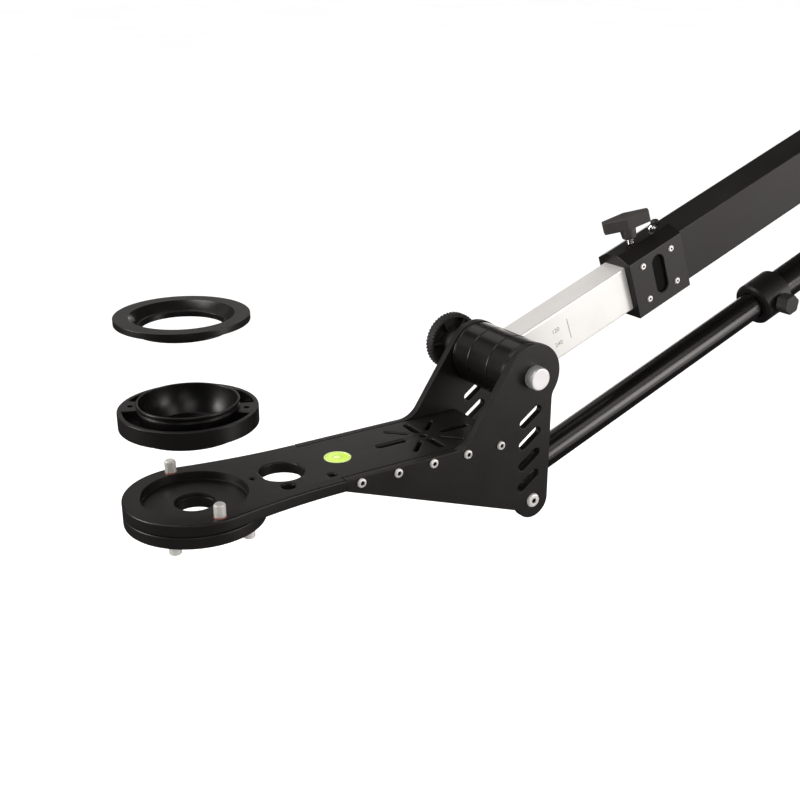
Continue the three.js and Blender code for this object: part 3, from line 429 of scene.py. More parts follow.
alongArm, roundY = {"turn": (0, boomPitch, 0)}, {"turn": (math.pi / 2, 0, 0), "rings": True}
anodised = finish("anodisedBlack", "black_anodised", (0.0046, 0.0037, 0.0034), (0.0064, 0.0052, 0.0048),
                  (0.34, 0.44), specular=0.39, relief=0.10, grainScale=2600)
tubeBlack = finish("tubeBlackAnodised", "black_anodised", (0.0055, 0.0045, 0.0042), (0.0080, 0.0066, 0.0062),
                   (0.40, 0.52), specular=0.33, relief=0.08, grainScale=900, stretch=(0.03, 1, 1), **alongArm)
rodGloss = finish("rodBlackGloss", "black_gloss_tube", (0.0022, 0.0018, 0.0017), (0.0030, 0.0025, 0.0023),
                  (0.235, 0.245), relief=0, stretch=(0.05, 1, 1), **alongArm)
silver = finish("tubeSilverAnodised", "silver_tube", (0.600, 0.594, 0.577), (0.658, 0.651, 0.634),
                (0.30, 0.42), metal=0.5, relief=0.06, grainScale=1500, stretch=(0.02, 1, 1), **alongArm)
steelLook = {"slotName": "bright_steel", "dark": (0.62, 0.61, 0.60), "light": (0.72, 0.715, 0.71),
             "rough": (0.16, 0.28), "metal": 1, "relief": 0.05}
steel = finish("screwSteel", **steelLook)
screwNickel = finish("screwSatinNickel", "bright_steel", (0.68, 0.665, 0.635), (0.78, 0.765, 0.735),
                     (0.30, 0.40), metal=0.65, relief=0.05)
# Near-black, matt and dull: painted shade, put in the bottoms of screw sockets and behind the collar's slot
paintedShade = finish("slotShade", "bright_steel", (0.0012, 0.0010, 0.0010), (0.0018, 0.0015, 0.0015),
                    (0.7, 0.8), specular=0.15, relief=0)
slotPaintedShade = ("black_anodised", paintedShade[1])
plastic = finish("knobBlackPlastic", "black_plastic", (0.012, 0.011, 0.0105), (0.018, 0.0165, 0.016),
                 (0.48, 0.62), specular=0.45, relief=0.35, grainScale=1400)
wingPlastic = finish("wingDarkPlastic", "dark_plastic", (0.021, 0.0185, 0.0175), (0.029, 0.026, 0.0245),
                     (0.42, 0.55), relief=0.30, grainScale=1600)
castIron = finish("weightPaintedIron", "weight_iron", (0.012, 0.012, 0.013), (0.022, 0.022, 0.023),
                  (0.45, 0.62), relief=0.8, grainScale=420)
brass = finish("bushBrass", "brass", (0.55, 0.36, 0.13), (0.68, 0.46, 0.18), (0.22, 0.36), metal=1,
               relief=0.05, rings=True)
ink = finish("markInk", "silver_tube", (0.12, 0.12, 0.12), (0.17, 0.17, 0.17), (0.5, 0.6), relief=0.02)
threadLock = finish("threadLockRed", "bright_steel", (0.11, 0.02, 0.012), (0.17, 0.035, 0.02), (0.35, 0.5),
                    relief=0.4, grainScale=700)
turnedBlack = finish("adapterTurnedBlack", "black_turned", (0.0026, 0.0021, 0.0020), (0.0040, 0.0033, 0.0031),
                     (0.26, 0.36), specular=0.44, relief=0.07, centre=headPlace @ Vector((0, 0, 0)),
                     rings=True)
barrelBlack = finish("barrelTurnedBlack", "black_anodised", (0.0024, 0.0019, 0.0018),
                     (0.0036, 0.0030, 0.0028),
                     (0.20, 0.28), specular=0.55, relief=0.04, centre=headPivot, **roundY)
capSteel = finish("pivotCapSteel", "bright_steel", (0.79, 0.785, 0.78), (0.85, 0.845, 0.84), (0.26, 0.34),
                  metal=0.85, relief=0.06, centre=headPivot, **roundY)
shaftSteel = finish("shaftTurnedSteel", **steelLook, centre=mainAxis, **roundY)
levelCup = finish("levelCup", "level_green", (0.50, 0.63, 0.20), (0.56, 0.68, 0.26), (0.08, 0.14), coat=0.8,
                  relief=0.02, specular=0.6)
levelLiquid = finish("levelLiquid", "level_green", (0.54, 0.76, 0.10), (0.60, 0.82, 0.14), (0.05, 0.1),
                     coat=1, coatRough=0.03, relief=0.01)
levelMark = finish("levelMark", "level_green", (0.20, 0.27, 0.06), (0.24, 0.31, 0.08), (0.3, 0.4), relief=0)
levelBubble = finish("levelBubble", "level_green", (0.66, 0.80, 0.30), (0.72, 0.85, 0.36), (0.03, 0.06),
                     coat=1, coatRough=0.02, relief=0)
print("materials made")

cameraView = {"place": (-1.7487, -1.0248, 0.4262), "tiltDeg": 69.188, "headingDeg": -32.978, "lens": 51.27}
camera = bpy.data.objects.new("viewCamera", bpy.data.cameras.new("viewCamera"))
camera.location = cameraView["place"]
camera.rotation_euler = (math.radians(cameraView["tiltDeg"]), 0, math.radians(cameraView["headingDeg"]))
camera.data.lens = cameraView["lens"]
camera.data.sensor_width = 36
scene.collection.objects.link(camera)
scene.camera = camera
scene.view_settings.view_transform = "Standard"

studio = {"floorZ": -1.25, "floorHalf": 60, "daylight": 1.12, "dimLight": 0.05,
          "lampColour": (1, 0.955, 0.93), "lampAway": 3.2, "lampWide": 1.3, "aimBehindPivot": 0.1}
floorSketch = bmesh.new()
bmesh.ops.create_grid(floorSketch, x_segments=8, y_segments=8, size=studio["floorHalf"])
floor = newObject("paleFloor", bpy.data.meshes.new("paleFloor"))
floorSketch.to_mesh(floor.data)
floorSketch.free()
floor.data.transform(Matrix.Translation((0, 0, studio["floorZ"])))
floor.data.materials.append(finish("paleFloor", None, (0.93, 0.93, 0.93), (0.95, 0.95, 0.95), (0.8, 0.9),
                                   specular=0.1, relief=0, cloudScale=0.4)[1])
floor.visible_glossy = False

# The room is white to look at and dim in reflections, where the soft lights below do the drawing
world = bpy.data.worlds.new("softStudio")
scene.world = world
world.use_nodes = True
room = world.node_tree
room.nodes.clear()
whiteRoom = node(room, "ShaderNodeBackground", Color=(1, 1, 1, 1), Strength=studio["daylight"])
dimRoom = node(room, "ShaderNodeBackground", Color=(1, 0.985, 0.97, 1), Strength=studio["dimLight"])
choice = node(room, "ShaderNodeMixShader")
wire(node(room, "ShaderNodeLightPath"), "Is Glossy Ray", choice, "Fac")
wire(whiteRoom, "Background", choice, 1)
wire(dimRoom, "Background", choice, 2)
wire(choice, "Shader", node(room, "ShaderNodeOutputWorld"), "Surface")

# Each light's direction from the head, and its power
softLights = {
    "rightLow": ((0.66, -0.73, -0.17), 9.5),
    "right": ((0.50, -0.85, 0.16), 36),
    "left": ((-0.93, 0.30, 0.20), 74),
    "rightHigh": ((0.23, -0.73, 0.64), 9),
    "rearRight": ((0.88, -0.46, 0.08), 14.8),
    "backHigh": ((0.15, 0.72, 0.67), 3.2),
    "back": ((0.21, 0.94, 0.27), 1.4),
    "backRear": ((0.54, 0.84, 0.02), 8.8),
    "front": ((-0.38, -0.91, 0.14), 5),
    "frontHigh": ((-0.48, -0.68, 0.55), 9),
    "leftHigh": ((-0.44, 0.22, 0.87), 32),
    "backLeft": ((-0.49, 0.74, 0.46), 1.5),
}
for lightName, (towards, power) in softLights.items():
    lamp = bpy.data.lights.new(lightName, "AREA")
    lamp.shape = "RECTANGLE"
    lamp.size = lamp.size_y = studio["lampWide"]
    lamp.energy = power
    lamp.color = studio["lampColour"]
    lampObject = bpy.data.objects.new(lightName, lamp)
    direction = Vector(towards).normalized()
    aim = headPivot + Vector((studio["aimBehindPivot"], 0, 0))
    lampObject.location = aim + direction * studio["lampAway"]
    lampObject.rotation_euler = direction.to_track_quat("Z", "Y").to_euler()
    lampObject.visible_camera = False
    scene.collection.objects.link(lampObject)
print("camera, floor and light made")

platformSizes = {
    "endR": 75, "thick": 13.5, "rear": 372.5, "neckHalf": 60, "neckFilletR": 660, "rearHalf": 50.7,
    "recessR": 56.3, "recessDeep": 9.5, "recessFillet": 1.2, "boltHoleR": 21.5, "chamfer": 0.7,
    "windowX": 102.5, "windowR": 25, "windowFlat": 23.6, "threadHole": (91, -37.7, 7.5), "notchR": 2,
    "studHole": (144.5, -37.7, 4.75), "smallHole": (67, 0, 3), "levelX": 173, "pocketR": 15.8,
    "pocketDeep": 9, "pocketChamfer": 0.4, "starX": 290, "starHoleR": 4, "bevel": 1.8,
    "longSlot": (24, 65, 8.5), "shortSlot": (11, 40, 8.5), "thinSlot": (18, 48, 4.5),
}
neckCentreY = platformSizes["neckHalf"] + platformSizes["neckFilletR"]
neckCentreX = math.sqrt((platformSizes["endR"] + platformSizes["neckFilletR"]) ** 2 - neckCentreY ** 2)
gussetFront = neckCentreX + 2


def platformOutline():
    p = platformSizes
    touchDeg = math.degrees(math.atan2(neckCentreY, neckCentreX))
    far = [(p["rear"], p["rearHalf"]), (gussetFront, p["rearHalf"]), (gussetFront, p["neckHalf"])]
    far += arc(neckCentreX, neckCentreY, p["neckFilletR"], 270, 180 + touchDeg, 1)
    near = [(x, -y) for x, y in reversed(far)]
    return far + arc(0, 0, p["endR"], touchDeg, 360 - touchDeg, 3)[1:-1] + near


def platformHoles():
    p = platformSizes
    half = math.degrees(math.acos(p["windowFlat"] / p["windowR"]))
    window = arc(p["windowX"], 0, p["windowR"], half, 180 - half)
    window += arc(p["windowX"], 0, p["windowR"], 180 + half, 360 - half)
    x, y, radius = p["threadHole"]
    notchDeg = math.degrees(math.asin(p["notchR"] / radius))
    thread = arc(x, y, radius, notchDeg, 360 - notchDeg) + arc(x + radius, y, p["notchR"], -80, 80, 20)
    holes = [window, thread, ringOutline(*p["studHole"], 8), ringOutline(*p["smallHole"], 12),
             ringOutline(p["starX"], 0, p["starHoleR"], 10)]
    for eighth in range(8):
        heading = math.radians(45 * eighth)
        start, end, wide = p["thinSlot"] if eighth % 2 else p["shortSlot"] if eighth % 4 else p["longSlot"]
        holes.append(slotOutline(*[
            (p["starX"] + distance * math.cos(heading), distance * math.sin(heading))
            for distance in (start + wide / 2, end - wide / 2)
        ], wide))
    return holes


def makePlatform():
    p = platformSizes
    platform = plate("cameraPlatform", platformOutline(), -p["thick"], 0, holes=platformHoles(),
                     bevel=p["bevel"])
    low, floorZ, edge, fillet, over = -p["thick"], -p["recessDeep"], p["chamfer"], p["recessFillet"], 3
    recess = turned("recessCutter", [
        (0, low - over), (p["boltHoleR"] + edge + over, low - over), (p["boltHoleR"], low + edge),
        (p["boltHoleR"], floorZ - edge), (p["boltHoleR"] + edge, floorZ), (p["recessR"] - fillet, floorZ),
        (p["recessR"], floorZ + fillet), (p["recessR"], -edge), (p["recessR"] + edge + over, over), (0, over),
    ], soft=0, segments=144)
    edge, over = p["pocketChamfer"], 2
    pocket = turned("pocketCutter", [
        (0, -p["pocketDeep"]), (p["pocketR"], -p["pocketDeep"]), (p["pocketR"], -edge),
        (p["pocketR"] + edge + over, over), (0, over),
    ], centre=(p["levelX"], 0), soft=0, segments=64)
    settle(carve(platform, recess, pocket), onHead, anodised, "platform")


baseDisc = {"endR": 75, "top": -13.8, "low": -26.8, "holeR": 21.5, "edge": 1.5}


def makeBaseDisc():
    d = baseDisc
    disc = cylinder("baseDisc", d["endR"], d["low"], d["top"], bore=d["holeR"], soft=d["edge"], segments=144)
    settle(disc, onHead, anodised, "base_disc")


# The red thread lock's profile is given outwards from the pin's core and upwards from the platform
pins = {"radius": 6.2, "pitchR": 64.2, "proud": 14.5, "deep": -11.7, "chamfer": 0.9, "ridges": 20,
        "ridgeHigh": 0.6, "ridgeHalf": 0.42, "ridgeSunk": 0.3, "ridgeFoot": 0.9, "ridgeShort": 1.6,
        "lock": ((-0.4, -0.2), (1.6, -0.2), (0.8, 0.9), (-0.4, 1.1))}


def makePins():
    p = pins
    inner = p["radius"] - p["ridgeHigh"]
    for side, sign in bothSides:
        centre = (0, sign * p["pitchR"])
        pin = turned("locatingPin." + side, [
            (0, p["deep"]), (inner, p["deep"]), (inner, p["proud"] - p["chamfer"]),
            (inner - p["chamfer"], p["proud"]), (0, p["proud"]),
        ], centre=centre, soft=0.3, segments=60)
        settle(pin, onHead, screwNickel, "locating_pin_" + side)
        ridge = box("locatingPinRidges." + side,
                    (inner - p["ridgeSunk"], centre[1] - p["ridgeHalf"], p["ridgeFoot"]),
                    (p["radius"], centre[1] + p["ridgeHalf"], p["proud"] - p["ridgeShort"]), bevel=0.15)
        settleRepeated(ridge, ringOfPieces, onHead, screwNickel, Count=p["ridges"], Centre=(0, centre[1], 0),
                       Turn=(0, 0, 2 * math.pi / p["ridges"]))
        lock = turned("threadLock." + side, [(inner + out, up) for out, up in p["lock"]], centre=centre,
                      soft=0.3, segments=48)
        settle(lock, onHead, threadLock)


# Each pair gives its first screw's angle, half the angle between the two, and their numbers
discScrews = {"pitchR": 67, "seat": -27.1, "headR": 6.5, "headHigh": 8, "shankR": 4, "shankLong": 23,
              "dome": 0.12, "socket": 0.5,
              "pairs": {"front": (131.5, 48.5, (2, 3)), "rear": (-60, 60, (1, 4))}}


def makeDiscScrews():
    d = discScrews
    for half, (startDeg, spreadDeg, numbers) in d["pairs"].items():
        start = math.radians(startDeg)
        centre = (d["pitchR"] * math.cos(start), d["pitchR"] * math.sin(start))
        screw = socketScrew("discScrews." + half, d, "z", centre, d["seat"], -1)
        settleRepeated(screw, ringOfPieces, onHead, screwNickel,
                       *[f"disc_screw_{number}" for number in numbers],
                       Count=2, Centre=(0, 0, 0), Turn=(0, 0, math.radians(2 * spreadDeg)))


# The liquid and the bubble are given as radii and heights
level = {"x": 173, "radius": 15.5, "deep": -8.7, "proud": 0.6, "rim": 2, "floor": -0.5,
         "bubbleAt": (-1.2, 0.8), "markR": 5.4, "markWide": 0.35, "markLow": 0.1, "markTop": 0.42,
         "liquid": ((0, -0.6), (13.45, -0.6), (13.45, -0.1), (8.1, 0.2), (0, 0.35)),
         "bubble": ((0, 0.2), (3.6, 0.25), (2.88, 0.5), (1.44, 0.58), (0, 0.6))}


def makeLevel():
    v = level
    centre = (v["x"], 0)
    inner = v["radius"] - v["rim"]
    cup = turned("levelCup", [
        (0, v["deep"]), (v["radius"], v["deep"]), (v["radius"], v["proud"]), (inner, v["proud"]),
        (inner, v["floor"]), (0, v["floor"]),
    ], centre=centre, soft=0.35, segments=72)
    settle(cup, onHead, levelCup, "level_vial")
    liquid = turned("levelLiquid", v["liquid"], centre=centre, soft=0.2, segments=72)
    settle(liquid, onHead, levelLiquid)
    mark = cylinder("levelMark", v["markR"] + v["markWide"], v["markLow"], v["markTop"], centre=centre,
                    bore=v["markR"], soft=0.05, segments=60)
    settle(mark, onHead, levelMark)
    bubble = turned("levelBubble", v["bubble"], centre=(v["x"] + v["bubbleAt"][0], v["bubbleAt"][1]),
                    soft=0.15, segments=48)
    settle(bubble, onHead, levelBubble)


gusset = {
    "outer": 60, "thick": 9, "pivotLobeR": 39.5, "boltLobeR": 23.5, "inclineDeg": 55.7, "undersideDeg": 20,
    "inclineFilletR": 30, "undersideFilletR": 12, "rearFilletR": 20, "tipLow": -13.5, "pinR": 12.3,
    "boltR": 5.3, "slots": 4, "slotX": 391.9, "slotZ": 12.2, "slotRun": 24.7, "slotDeg": 35, "slotWide": 10.8,
    "slotPitch": 27.5, "bevel": 0.9,
}


def gussetOutline():
    g = gusset
    under = math.radians(g["undersideDeg"])
    course = Vector((math.cos(under), -math.sin(under)))
    outwards = Vector((-math.sin(under), -math.cos(under)))
    tip, bolt, pivot = Vector((gussetFront + slack, g["tipLow"])), Vector(boltInHead), Vector(pivotInHead)
    heading = lambda spot, other: math.degrees(math.atan2(other.y - spot.y, other.x - spot.x)) % 360
    depth = (bolt - tip).dot(outwards)
    back = math.sqrt((g["boltLobeR"] + g["undersideFilletR"]) ** 2 - (g["undersideFilletR"] - depth) ** 2)
    lowFillet = tip + course * ((bolt - tip).dot(course) - back) + outwards * g["undersideFilletR"]
    toBolt = heading(lowFillet, bolt)
    rearX = bolt.x + g["boltLobeR"]
    rise = math.sqrt((g["pivotLobeR"] + g["rearFilletR"]) ** 2 - (rearX + g["rearFilletR"] - pivot.x) ** 2)
    rearFillet = Vector((rearX + g["rearFilletR"], pivot.y - rise))
    toPivot = heading(rearFillet, pivot)
    incline = math.radians(g["inclineDeg"])
    touch = (pivot.x - g["pivotLobeR"] * math.sin(incline), pivot.y + g["pivotLobeR"] * math.cos(incline))
    footX = touch[0] - touch[1] / math.tan(incline)
    topFillet = (footX - g["inclineFilletR"] * math.tan(incline / 2), g["inclineFilletR"])
    outline = [tuple(tip)]
    outline += arc(*lowFillet, g["undersideFilletR"], 90 - g["undersideDeg"], toBolt)
    outline += arc(*bolt, g["boltLobeR"], toBolt + 180, 360)[1:]
    outline += arc(*rearFillet, g["rearFilletR"], 180, toPivot)
    outline += arc(*pivot, g["pivotLobeR"], toPivot - 180, 90 + g["inclineDeg"], 3)[1:]
    outline += arc(*topFillet, g["inclineFilletR"], g["inclineDeg"] - 90, -90)
    return outline + [(tip.x, 0)]


sideScrews = {"count": 5, "first": 18.3, "pitch": 47.5, "height": -6.75, "headR": 5.3, "headHigh": 3,
              "shankR": 3, "shankLong": 20, "dome": 0.5, "socket": 0.56}


# A row of screws along x, and dark discs of painted shade in their sockets
def makeScrewRow(name, shadeName, size, centre, seat, out, where, *nodes):
    for piece, surface, replaced in (
        (socketScrew(name, size, "y", centre, seat, out), screwNickel, nodes),
        (paintedSocketShade(shadeName, size, "y", centre, seat, out), paintedShade, ()),
    ):
        settleRepeated(piece, rowOfPieces, where, surface, *replaced, Count=size["count"],
                       Step=(size["pitch"], 0, 0))


def makeGussets():
    g, s = gusset, sideScrews
    angle = math.radians(g["slotDeg"])
    holes = [ringOutline(*pivotInHead, g["pinR"]), ringOutline(*boltInHead, g["boltR"], 10)]
    for slotIndex in range(g["slots"]):
        start = (g["slotX"], g["slotZ"] - g["slotPitch"] * slotIndex)
        end = (start[0] + g["slotRun"] * math.cos(angle), start[1] + g["slotRun"] * math.sin(angle))
        holes.append(slotOutline(start, end, g["slotWide"]))
    for side, sign in bothSides:
        panel = plate("sidePlate." + side, gussetOutline(), sign * (g["outer"] - g["thick"]),
                      sign * g["outer"], "y", holes, g["bevel"])
        settle(panel, onHead, anodised, "gusset_" + side)
        makeScrewRow("sideScrews." + side, "sideSocketShade." + side, s, (gussetFront + s["first"], s["height"]),
                     sign * (g["outer"] + slack), sign, onHead,
                     *[f"gusset_{side}_screw_{number + 1}" for number in range(s["count"])])


# The sleeve's outside past its plain part is given inwards from its radius and outwards from the middle
barrel = {"radius": 38.5, "knuckleHalf": 18.2, "sleeveStart": 18.5, "sleeveEnd": 50.7, "boreR": 12.3,
          "edge": 1.3, "groove": ((0, 46.2), (1.1, 46.7), (1.1, 47.5), (0.2, 48), (0.2, 50.7)),
          "spigot": ((38, -14.7, -26.7), (110, 14.7, 26.7))}


def makeBarrel():
    b = barrel
    profile = [(b["boreR"], b["sleeveStart"]), (b["radius"], b["sleeveStart"])]
    profile += [(b["radius"] - inwards, height) for inwards, height in b["groove"]]
    profile.append((b["boreR"], b["sleeveEnd"]))
    for side, sign in bothSides:
        sleeve = turned("barrelSleeve." + side, [(radius, sign * height) for radius, height in profile], "y",
                        pivotInHead, soft=b["edge"], segments=144)
        settle(sleeve, onHead, barrelBlack, "barrel_sleeve_" + side)
    knuckle = cylinder("tubeKnuckle", b["radius"], -b["knuckleHalf"], b["knuckleHalf"], "y", bore=b["boreR"],
                       soft=b["edge"], segments=144)
    settle(together(knuckle, box("knuckleSpigot", *b["spigot"])), onInnerBoom, barrelBlack, "tube_knuckle")


pivotPin = {"shankR": 12, "shankEnd": 60, "threadR": 8, "threadEnd": 98, "capR": 14, "capStart": -60.3,
            "capEnd": -73, "capFlat": 0.55, "capSunk": 0.25, "capEdge": (1.2, 1.5)}


def makePivotPin():
    p = pivotPin
    pin = turned("headPivotPin", [
        (0, p["capEnd"] + p["capSunk"]), (p["capR"] * p["capFlat"], p["capEnd"]),
        (p["capR"] - p["capEdge"][0], p["capEnd"]), (p["capR"], p["capEnd"] + p["capEdge"][1]),
        (p["capR"], p["capStart"]), (p["shankR"], p["capStart"]), (p["shankR"], p["shankEnd"]),
        (p["threadR"], p["shankEnd"]), (p["threadR"], p["threadEnd"]), (0, p["threadEnd"]),
    ], "y", pivotInHead, soft=0.8)
    settle(pin, onHead, capSteel, "head_pivot_pin")


tensionKnob = {"rimR": 36.5, "rimStart": 98, "rimEnd": 111, "wall": 3.5, "webDrop": 0.4, "hubR": 17,
               "hubStart": 60.3, "hubEdge": 1, "dish": 1.5, "ribs": 6, "ribHalf": 1.3, "ribSunk": (2, 0.8),
               "ribAcross": (1.5, 0.5), "teeth": 48, "toothDeep": 1.4, "toothHalf": 1.1, "toothSunk": 0.6,
               "toothShort": 0.7, "boreR": 8.3}


def makeTensionKnob():
    k = tensionKnob
    x, z = pivotInHead
    rootR = k["rimR"] - k["toothDeep"]
    insideR, webAt = rootR - k["wall"], k["rimEnd"] - k["wall"]
    knob = turned("headTensionKnob", [
        (k["boreR"], k["hubStart"]), (k["hubR"] - k["hubEdge"], k["hubStart"]),
        (k["hubR"], k["hubStart"] + k["hubEdge"]), (k["hubR"], webAt), (insideR, webAt - k["webDrop"]),
        (insideR, k["rimStart"]), (rootR, k["rimStart"]), (rootR, k["rimEnd"]), (k["hubR"], k["rimEnd"]),
        (0, k["rimEnd"] - k["dish"]), (0, k["rimStart"]), (k["boreR"], k["rimStart"]),
    ], "y", pivotInHead, soft=0.8, segments=120)
    rib = box("headTensionKnobRibs",
              (x + k["hubR"] - k["ribSunk"][0], k["rimStart"] + k["ribAcross"][0], z - k["ribHalf"]),
              (x + insideR + k["ribSunk"][1], webAt + k["ribAcross"][1], z + k["ribHalf"]), 0.5)
    tooth = box("headTensionKnobGrip",
                (x + rootR - k["toothSunk"], k["rimStart"] + k["toothShort"], z - k["toothHalf"]),
                (x + k["rimR"], k["rimEnd"] - k["toothShort"], z + k["toothHalf"]), 0.5)
    onKnob = (headPlace, "tension_knob")
    settle(knob, onKnob, plastic, "head_tension_knob")
    for piece, count in ((rib, k["ribs"]), (tooth, k["teeth"])):
        settleRepeated(piece, ringOfPieces, onKnob, plastic, Count=count, Centre=(x, 0, z),
                       Turn=(0, 2 * math.pi / count, 0))


lowerBolt = {"seat": 60.3, "headR": 8.8, "headHigh": 3.6, "shankR": 5, "shankLong": 124.6, "dome": 0.6,
             "socket": 0.42}


def hexNut(name, size, centre, start, boreStepDeg, bevel):
    return plate(name, ringOutline(*centre, size["headR"], 60), start, start + size["headHigh"], "y",
                 [ringOutline(*centre, size["shankR"], boreStepDeg)], bevel)


def makeLowerBolt():
    b = lowerBolt
    bolt = socketScrew("lowerBolt", b, "y", boltInHead, -b["seat"], -1)
    # A dark disc in the bolt's socket: painted shade
    settle(paintedSocketShade("lowerBoltSocketShade", b, "y", boltInHead, -b["seat"], -1), onHead, paintedShade)
    nut = hexNut("lowerNut", b, boltInHead, b["seat"], 15, 0.5)
    settle(together(bolt, nut), onHead, screwNickel, "lower_bolt")


# The cup's outside is given as radii and heights from the lip, under the rim's top and over it.
# past says how far the cutters run past what they cut.
bowl = {"rimR": 71.4, "rimTop": 97.5, "rimHigh": 17.4, "wall": 5, "lipHigh": 7.6, "bowlR": 50,
        "boltHoleR": 21.5, "floorThick": 3, "spigotR": 56, "spigotHigh": 8, "moatDeep": 12, "moatFillet": 5.5,
        "webDeg": -34, "webHalfDeg": 13, "webHoleR": 3, "webHoleEdge": 0.5, "pinSink": 1.6, "chamfer": 0.6,
        "floorSteps": 12, "cupFoot": 0.3,
        "past": {"inwards": 1, "outwards": 4, "under": 12, "over": 2, "flare": 1.2, "top": 4},
        "cupLow": ((49.2, -19.6), (50.6, -9.4), (50.6, -8.6), (51.4, -7.6)),
        "cupHigh": ((51.4, -7.6), (51.8, -7.1), (51.8, -6.2), (50.9, -5.4), (50.9, -3.2), (52.5, -2.2),
                    (52.5, 0))}


# The moat between the rim and the cup, on one side of the webs
def moatCutter(side, fromDeg, toDeg, grow, floorZ):
    a, past = bowl, bowl["past"]
    outerR, cupR = a["rimR"] - a["wall"] + grow, a["cupLow"][0][0]
    innerR, keptR = cupR - past["inwards"], a["cupHigh"][0][0] + past["outwards"]
    spread = math.degrees(grow / outerR)
    pocket = arc(0, 0, outerR, fromDeg - spread, toDeg + spread, 3)
    pocket += arc(0, 0, innerR, toDeg + spread, fromDeg - spread, 3)
    cutter = plate("moat." + side, softened(pocket, a["moatFillet"], keepDeg=40, steps=5), floorZ,
                   a["rimTop"] + past["over"], bevel=max(grow, 0.1))
    lipTop, keptLow, keptTop = a["rimTop"] + a["lipHigh"], floorZ - past["under"], a["rimTop"] + past["top"]
    cup = turned("cupKept", [
        (0, keptLow), (cupR, keptLow), *[(radius, lipTop + height) for radius, height in a["cupLow"]],
        (keptR, a["rimTop"] + past["flare"]), (keptR, keptTop), (0, keptTop),
    ], soft=0, segments=180)
    return carve(cutter, cup)


def makeBowlAdapter():
    a = bowl
    low, lipTop, over, past = a["rimTop"] - a["rimHigh"], a["rimTop"] + a["lipHigh"], 3, a["past"]["over"]
    spigotLow = low - a["spigotHigh"]
    floorZ = spigotLow + a["floorThick"]
    floorDeg = math.degrees(math.asin((lipTop - floorZ) / a["bowlR"]))
    inside = [math.radians(floorDeg * (step + 1) / a["floorSteps"]) for step in range(a["floorSteps"])]
    adapter = turned("bowlAdapter100", [
        (a["boltHoleR"], floorZ), (a["boltHoleR"], spigotLow), (a["spigotR"], spigotLow), (a["spigotR"], low),
        (a["rimR"], low), (a["rimR"], a["rimTop"]), (a["cupHigh"][0][0] + a["cupFoot"], a["rimTop"]),
        *[(radius, lipTop + height) for radius, height in a["cupHigh"]], (a["bowlR"], lipTop),
        *[(a["bowlR"] * math.cos(turn), lipTop - a["bowlR"] * math.sin(turn)) for turn in inside],
    ], soft=0.7, segments=180)
    webMiddle = (a["rimR"] - a["wall"] + a["cupHigh"][-1][0]) / 2
    pinHoleR, pinHoleTop = pins["radius"] + slack, low + pins["proud"] + slack
    for side, sign in bothSides:
        startDeg = a["webDeg"] + 90 * (sign - 1)
        webTurn = math.radians(startDeg)
        fromDeg, toDeg = startDeg + a["webHalfDeg"], startDeg + 180 - a["webHalfDeg"]
        webHole = turned("webHole." + side, [
            (0, low - over), (a["webHoleR"], low - over), (a["webHoleR"], a["rimTop"] - a["webHoleEdge"]),
            (a["webHoleR"] + a["webHoleEdge"] + past, a["rimTop"] + past), (0, a["rimTop"] + past),
        ], centre=(webMiddle * math.cos(webTurn), webMiddle * math.sin(webTurn)), soft=0, segments=32)
        pinHole = turned("pinHole." + side, [
            (0, low - over), (pinHoleR + a["pinSink"] + over, low - over), (pinHoleR, low + a["pinSink"]),
            (pinHoleR, pinHoleTop), (0, pinHoleTop),
        ], centre=(0, sign * pins["pitchR"]), soft=0, segments=36)
        carve(adapter, moatCutter(side, fromDeg, toDeg, 0, a["rimTop"] - a["moatDeep"]),
              moatCutter(side, fromDeg, toDeg, a["chamfer"], a["rimTop"] - a["chamfer"]), webHole, pinHole)
    settle(adapter, (headPlace, "bowl_adapter"), turnedBlack, "adapter_100")


# The cone is given inwards and down from the mouth, and the throat outwards and up from the seat
ringAdapter = {"top": 195.6, "radius": 67.2, "thick": 6.6, "mouthR": 52, "throatR": 41.5, "spigotR": 48,
               "spigotHigh": 8.5, "cone": ((0, 0), (2.2, 1.6), (6.4, 6.2)),
               "throat": ((2.4, 6.6), (0.4, 6), (0, 5.4))}


def makeRingAdapter():
    a = ringAdapter
    low = a["top"] - a["thick"]
    seat = low - a["spigotHigh"]
    ring = turned("ringAdapter75", [
        (a["throatR"], seat), (a["spigotR"], seat), (a["spigotR"], low), (a["radius"], low),
        (a["radius"], a["top"]), *[(a["mouthR"] - inwards, a["top"] - down) for inwards, down in a["cone"]],
        *[(a["throatR"] + outwards, seat + up) for outwards, up in a["throat"]],
    ], soft=0.6, segments=180)
    settle(ring, (headPlace, "ring_adapter"), turnedBlack, "adapter_75")


makePlatform()
makeBaseDisc()
makePins()
makeDiscScrews()
makeLevel()
makeGussets()
makeBarrel()
makePivotPin()
makeTensionKnob()
makeLowerBolt()
makeBowlAdapter()
makeRingAdapter()
print("head and adapters made")

tubes = {"innerWide": 18, "innerHigh": 30, "innerStart": 10, "innerEnd": 640, "outerWide": 24,
         "outerHigh": 36, "outerStart": 206.3, "outerEnd": 1500, "wall": 3, "cornerR": 2.5, "insideR": 1.2,
         "shaftR": 10}
tubeMarks = {"lineAt": 93.7, "lineTop": 14, "lineLow": -13.5, "lineWide": 1.1, "lineSunk": 0.3,
             "numbersAt": 68, "numbers": {"120": 5.5, "240": -13.2}, "size": 8, "proud": 0.05, "deep": 0.15}


def tubePiece(name, wide, high, start, end):
    wall = tubes["wall"]
    outside = softened(rectangle(-wide, -high, wide, high), tubes["cornerR"], steps=5)
    inside = softened(rectangle(wall - wide, wall - high, wide - wall, high - wall), tubes["insideR"])
    return plate(name, outside, start, end, "x", [inside], 0.5)


